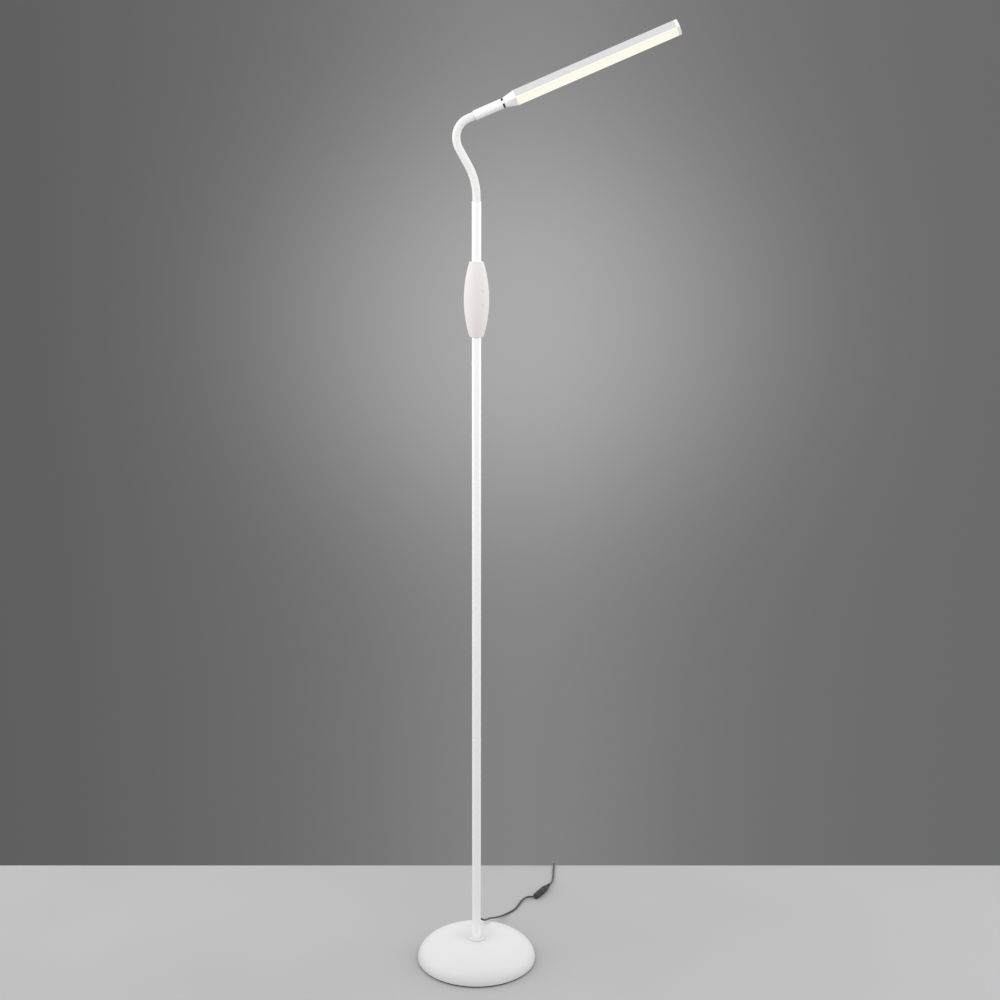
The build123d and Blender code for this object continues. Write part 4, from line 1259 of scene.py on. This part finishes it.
    def pin_sleeves(self) -> list[bpy.types.Object]:
        """Makes the insulating sleeves on the inner half of each plug pin.

        Returns:
            The sleeves.
        """
        low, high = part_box("adapter_pins")
        pin_inset, gap = 2.0 * MM, 0.2 * MM
        profile = in_mm((2.0, 0.0), (2.3, 0.0), (2.3, 9.4), (2.15, 9.9), (2.0, 10.0))
        sleeves = []
        for number, y in enumerate((low[1] + pin_inset, high[1] - pin_inset)):
            start = Vector((high[0] + gap, y, (low[2] + high[2]) / 2))
            name = f"adapter_pin_sleeve_{number + 1}"
            mesh = turned_mesh(name, profile, along_frame(start, Vector((-1.0, 0.0, 0.0))))
            sleeves.append(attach(add_piece(name, mesh, Finish.BLACK_PLASTIC), "stand"))
        return sleeves

    def build(self) -> None:
        relief = self.relief()
        socket, plug = self.coupling()
        lamp_lead = self.curve("lamp_lead_cord", self.lamp_route, ["lamp_lead"])
        route = [*self.supply_route, *self.coil_points(), *self.tail_route]
        supply_lead = self.curve("supply_lead_cord", route, ["adapter_lead", "cord_coil", "cord_tail"])
        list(self.pin_sleeves())


# ---------------- studio


@dataclass(frozen=True)
class SoftLight:
    """One soft box.

    Attributes:
        name: its name.
        place: where it stands.
        aim: the point it looks at.
        size: its width.
        power: its power in watts.
        spread: full angle of its beam, in degrees.
    """

    name: str
    place: Point
    aim: Point
    size: float
    power: float
    spread: float = 180.0

    def build(self) -> None:
        """Puts the soft box in the scene."""
        light = bpy.data.lights.new(self.name, "AREA")
        light.size = self.size
        light.energy = self.power
        light.spread = math.radians(self.spread)
        lamp = put(self.name, light)
        lamp.location = self.place
        lamp.visible_camera = False
        lamp.rotation_euler = (Vector(self.aim) - Vector(self.place)).to_track_quat("-Z", "Y").to_euler()


@dataclass
class Studio:
    """Camera, floor, backdrop and light.

    Attributes:
        camera_place: the camera's place.
        camera_tilt: its rotation about X, in degrees.
        lens: its focal length in millimetres.
        shift: its sideways shift.
        floor_size: half the floor's side.
        wall_y: where the backdrop stands.
        wall_height: the backdrop's height.
        notch: left edge, right edge and height of the opening for the cord.
        wall_shade: brightness of the backdrop without its glow.
        wall_tilt: how much brighter its painted light gets with each metre to the right.
        glow_shade: brightness that the painted pool of light adds.
        glow_centre: middle of the pool, X and Z.
        glow_reach: half width and half height at which the pool has halved.
        glow_power: how flat the pool's middle is and how fast it ends.
        column_reach: distance to the side at which the tall painted glow has halved.
        column_share: strength of the tall glow, in parts of the pool's.
        floor_tones: the two greys the floor drifts between.
        floor_patches: patches of them in a metre.
        sky: strength of the even world light.
        paper: grey that the camera sees where the studio ends.
        soft_boxes: the lights.
    """

    camera_place: Point = (0.0, -2.9705, 1.6264)
    camera_tilt: float = 76.05
    lens: float = 62.64
    shift: float = 0.0235
    floor_size: float = 5.0
    wall_y: float = 0.392
    wall_height: float = 4.0
    notch: Point = (0.1608, 0.1652, 0.0054)
    wall_shade: float = 0.118
    wall_tilt: float = 0.016
    glow_shade: float = 0.178
    glow_centre: Pair = (0.084, 1.144)
    glow_reach: Pair = (0.39, 0.335)
    glow_power: float = 2.3
    column_reach: float = 0.38
    column_share: float = 0.60
    floor_tones: tuple[Colour, Colour] = ((0.36, 0.356, 0.36), (0.38, 0.376, 0.38))
    floor_patches: float = 1.6
    sky: float = 1.13
    paper: Colour = (0.24, 0.24, 0.24)
    soft_boxes: tuple[SoftLight, ...] = (
        SoftLight("front", (-1.5, -1.7, 2.2), (0.05, 0.0, 1.2), 0.9, 2.1, 90.0),
        SoftLight("left", (-1.5, 0.1, 1.15), (0.0, 0.0, 0.9), 1.4, 6.7),
        SoftLight("right", (1.5, 0.1, 1.15), (0.0, 0.0, 0.9), 1.4, 6.9),
        SoftLight("bounce", (0.4, -1.9, 0.25), (0.15, 0.0, 1.5), 1.2, 0.8, 70.0))

    def camera(self) -> None:
        """Makes the camera and sets it as the scene's."""
        data = bpy.data.cameras.new("camera")
        data.lens = self.lens
        data.sensor_width = 36.0
        data.shift_x = self.shift
        camera = put("camera", data)
        camera.location = self.camera_place
        camera.rotation_euler = (math.radians(self.camera_tilt), 0.0, 0.0)
        bpy.context.scene.camera = camera

    def floor(self) -> None:
        """Makes the plain pale floor."""
        material, tree, shader = blank_material("studio_floor")
        drift = tree.spread(tree.noise(tree.place(), self.floor_patches, 2.0), 0.3, 0.7, 0.0, 1.0)
        tree.feed(shader.inputs["Base Color"], tree.mix(drift, *self.floor_tones))
        shader.inputs["Roughness"].default_value = 0.8
        reach = self.floor_size
        points = [(-reach, -reach, 0.0), (reach, -reach, 0.0), (reach, reach, 0.0), (-reach, reach, 0.0)]
        self.stage("studio_floor", points, [(0, 1, 2, 3)], material)

    def wall(self) -> None:
        """Makes the backdrop, seen from its front only, with its opening for the cord and a painted pool of
        light.
        """
        material, tree, shader = blank_material("studio_backdrop")
        # Painted light: the backdrop is unlit and emits its own brightness, a painted pool and tall column
        # of light on a grey that brightens to the right.
        place = tree.place()
        centre = (self.glow_centre[0], self.wall_y, self.glow_centre[1])
        offset = tree.vector("SUBTRACT", place, centre)
        wide, tall = self.glow_reach
        distance = tree.vector("LENGTH", tree.vector("MULTIPLY", offset, (1 / wide, 0.0, 1 / tall)))
        falloff = tree.math("MULTIPLY", -1.0, tree.math("POWER", distance, self.glow_power))
        pool = tree.math("POWER", 2.0, falloff)
        sideways = tree.math("DIVIDE", tree.axis(offset, 0), self.column_reach)
        column = tree.math("DIVIDE", self.column_share, tree.math("MULTIPLY_ADD", sideways, sideways, 1.0))
        plain = tree.math("MULTIPLY_ADD", tree.axis(place, 0), self.wall_tilt, self.wall_shade)
        glow = tree.math("MULTIPLY_ADD", tree.math("ADD", pool, column), self.glow_shade, plain)
        tree.feed(shader.inputs["Emission Color"], glow)
        shader.inputs["Emission Strength"].default_value = 1.0
        shader.inputs["Base Color"].default_value = (0.0, 0.0, 0.0, 1.0)
        shader.inputs["Specular IOR Level"].default_value = 0.0
        back = tree.add("ShaderNodeNewGeometry").outputs["Backfacing"]
        clear = tree.add("ShaderNodeBsdfTransparent")
        front = tree.add("ShaderNodeMixShader", {0: back, 1: shader.outputs[0], 2: clear.outputs[0]})
        tree.feed(tree.find("OUTPUT_MATERIAL").inputs["Surface"], front.outputs[0])
        material.cycles.emission_sampling = "NONE"
        reach = self.floor_size
        left, right, top = self.notch
        columns = (-reach, left, right, reach)
        points = [(x, self.wall_y, z) for x in columns for z in (0.0, top, self.wall_height)]
        faces = []
        for column in range(3):
            low = 3 * column
            if column != 1:
                faces.append((low, low + 3, low + 4, low + 1))
            faces.append((low + 1, low + 4, low + 5, low + 2))
        backdrop = self.stage("studio_backdrop", points, faces, material)
        backdrop.visible_diffuse = backdrop.visible_glossy = backdrop.visible_shadow = False

    def stage(self, name: str, points: Sequence[Point], faces: Sequence[tuple[int, ...]],
              material: bpy.types.Material) -> bpy.types.Object:
        """Puts a piece of the studio in the scene.

        Args:
            name: its name.
            points: its vertices.
            faces: its faces.
            material: its material.

        Returns:
            The new object.
        """
        mesh = make_mesh(name, points, faces, smooth=False)
        mesh.materials.append(material)
        piece = put(name, mesh)
        return piece

    def lights(self) -> None:
        """Sets the even world light and the soft boxes."""
        scene = bpy.context.scene
        scene.view_settings.view_transform = "Standard"
        world = bpy.data.worlds.new("studio")
        world.use_nodes = True
        tree = Tree(world.node_tree)
        sky = tree.find("BACKGROUND")
        tree.feed(sky.inputs["Color"], (1.0, 1.0, 1.0))
        tree.feed(sky.inputs["Strength"], self.sky)
        paper = tree.add("ShaderNodeBackground", {"Color": self.paper, "Strength": 1.0})
        seen = tree.add("ShaderNodeLightPath").outputs["Is Camera Ray"]
        choice = tree.add("ShaderNodeMixShader", {0: seen, 1: sky.outputs[0], 2: paper.outputs[0]})
        tree.feed(tree.find("OUTPUT_WORLD").inputs["Surface"], choice.outputs[0])
        scene.world = world
        for light in self.soft_boxes:
            light.build()

    def build(self) -> None:
        """Builds the studio."""
        self.camera()
        self.floor()
        self.wall()
        self.lights()


# ---------------- the lamp


def main() -> None:
    """Builds the studio and the lamp's sub-assemblies in order."""
    logging.basicConfig(level=logging.INFO, format="%(name)s: %(message)s")
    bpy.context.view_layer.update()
    Studio().build()
    for kind in (CordSet, Stand, Grip, Gooseneck, LightBar):
        assembly = kind()
        assembly.build()
        assembly.dress()


if __name__ == "__main__":
    main()
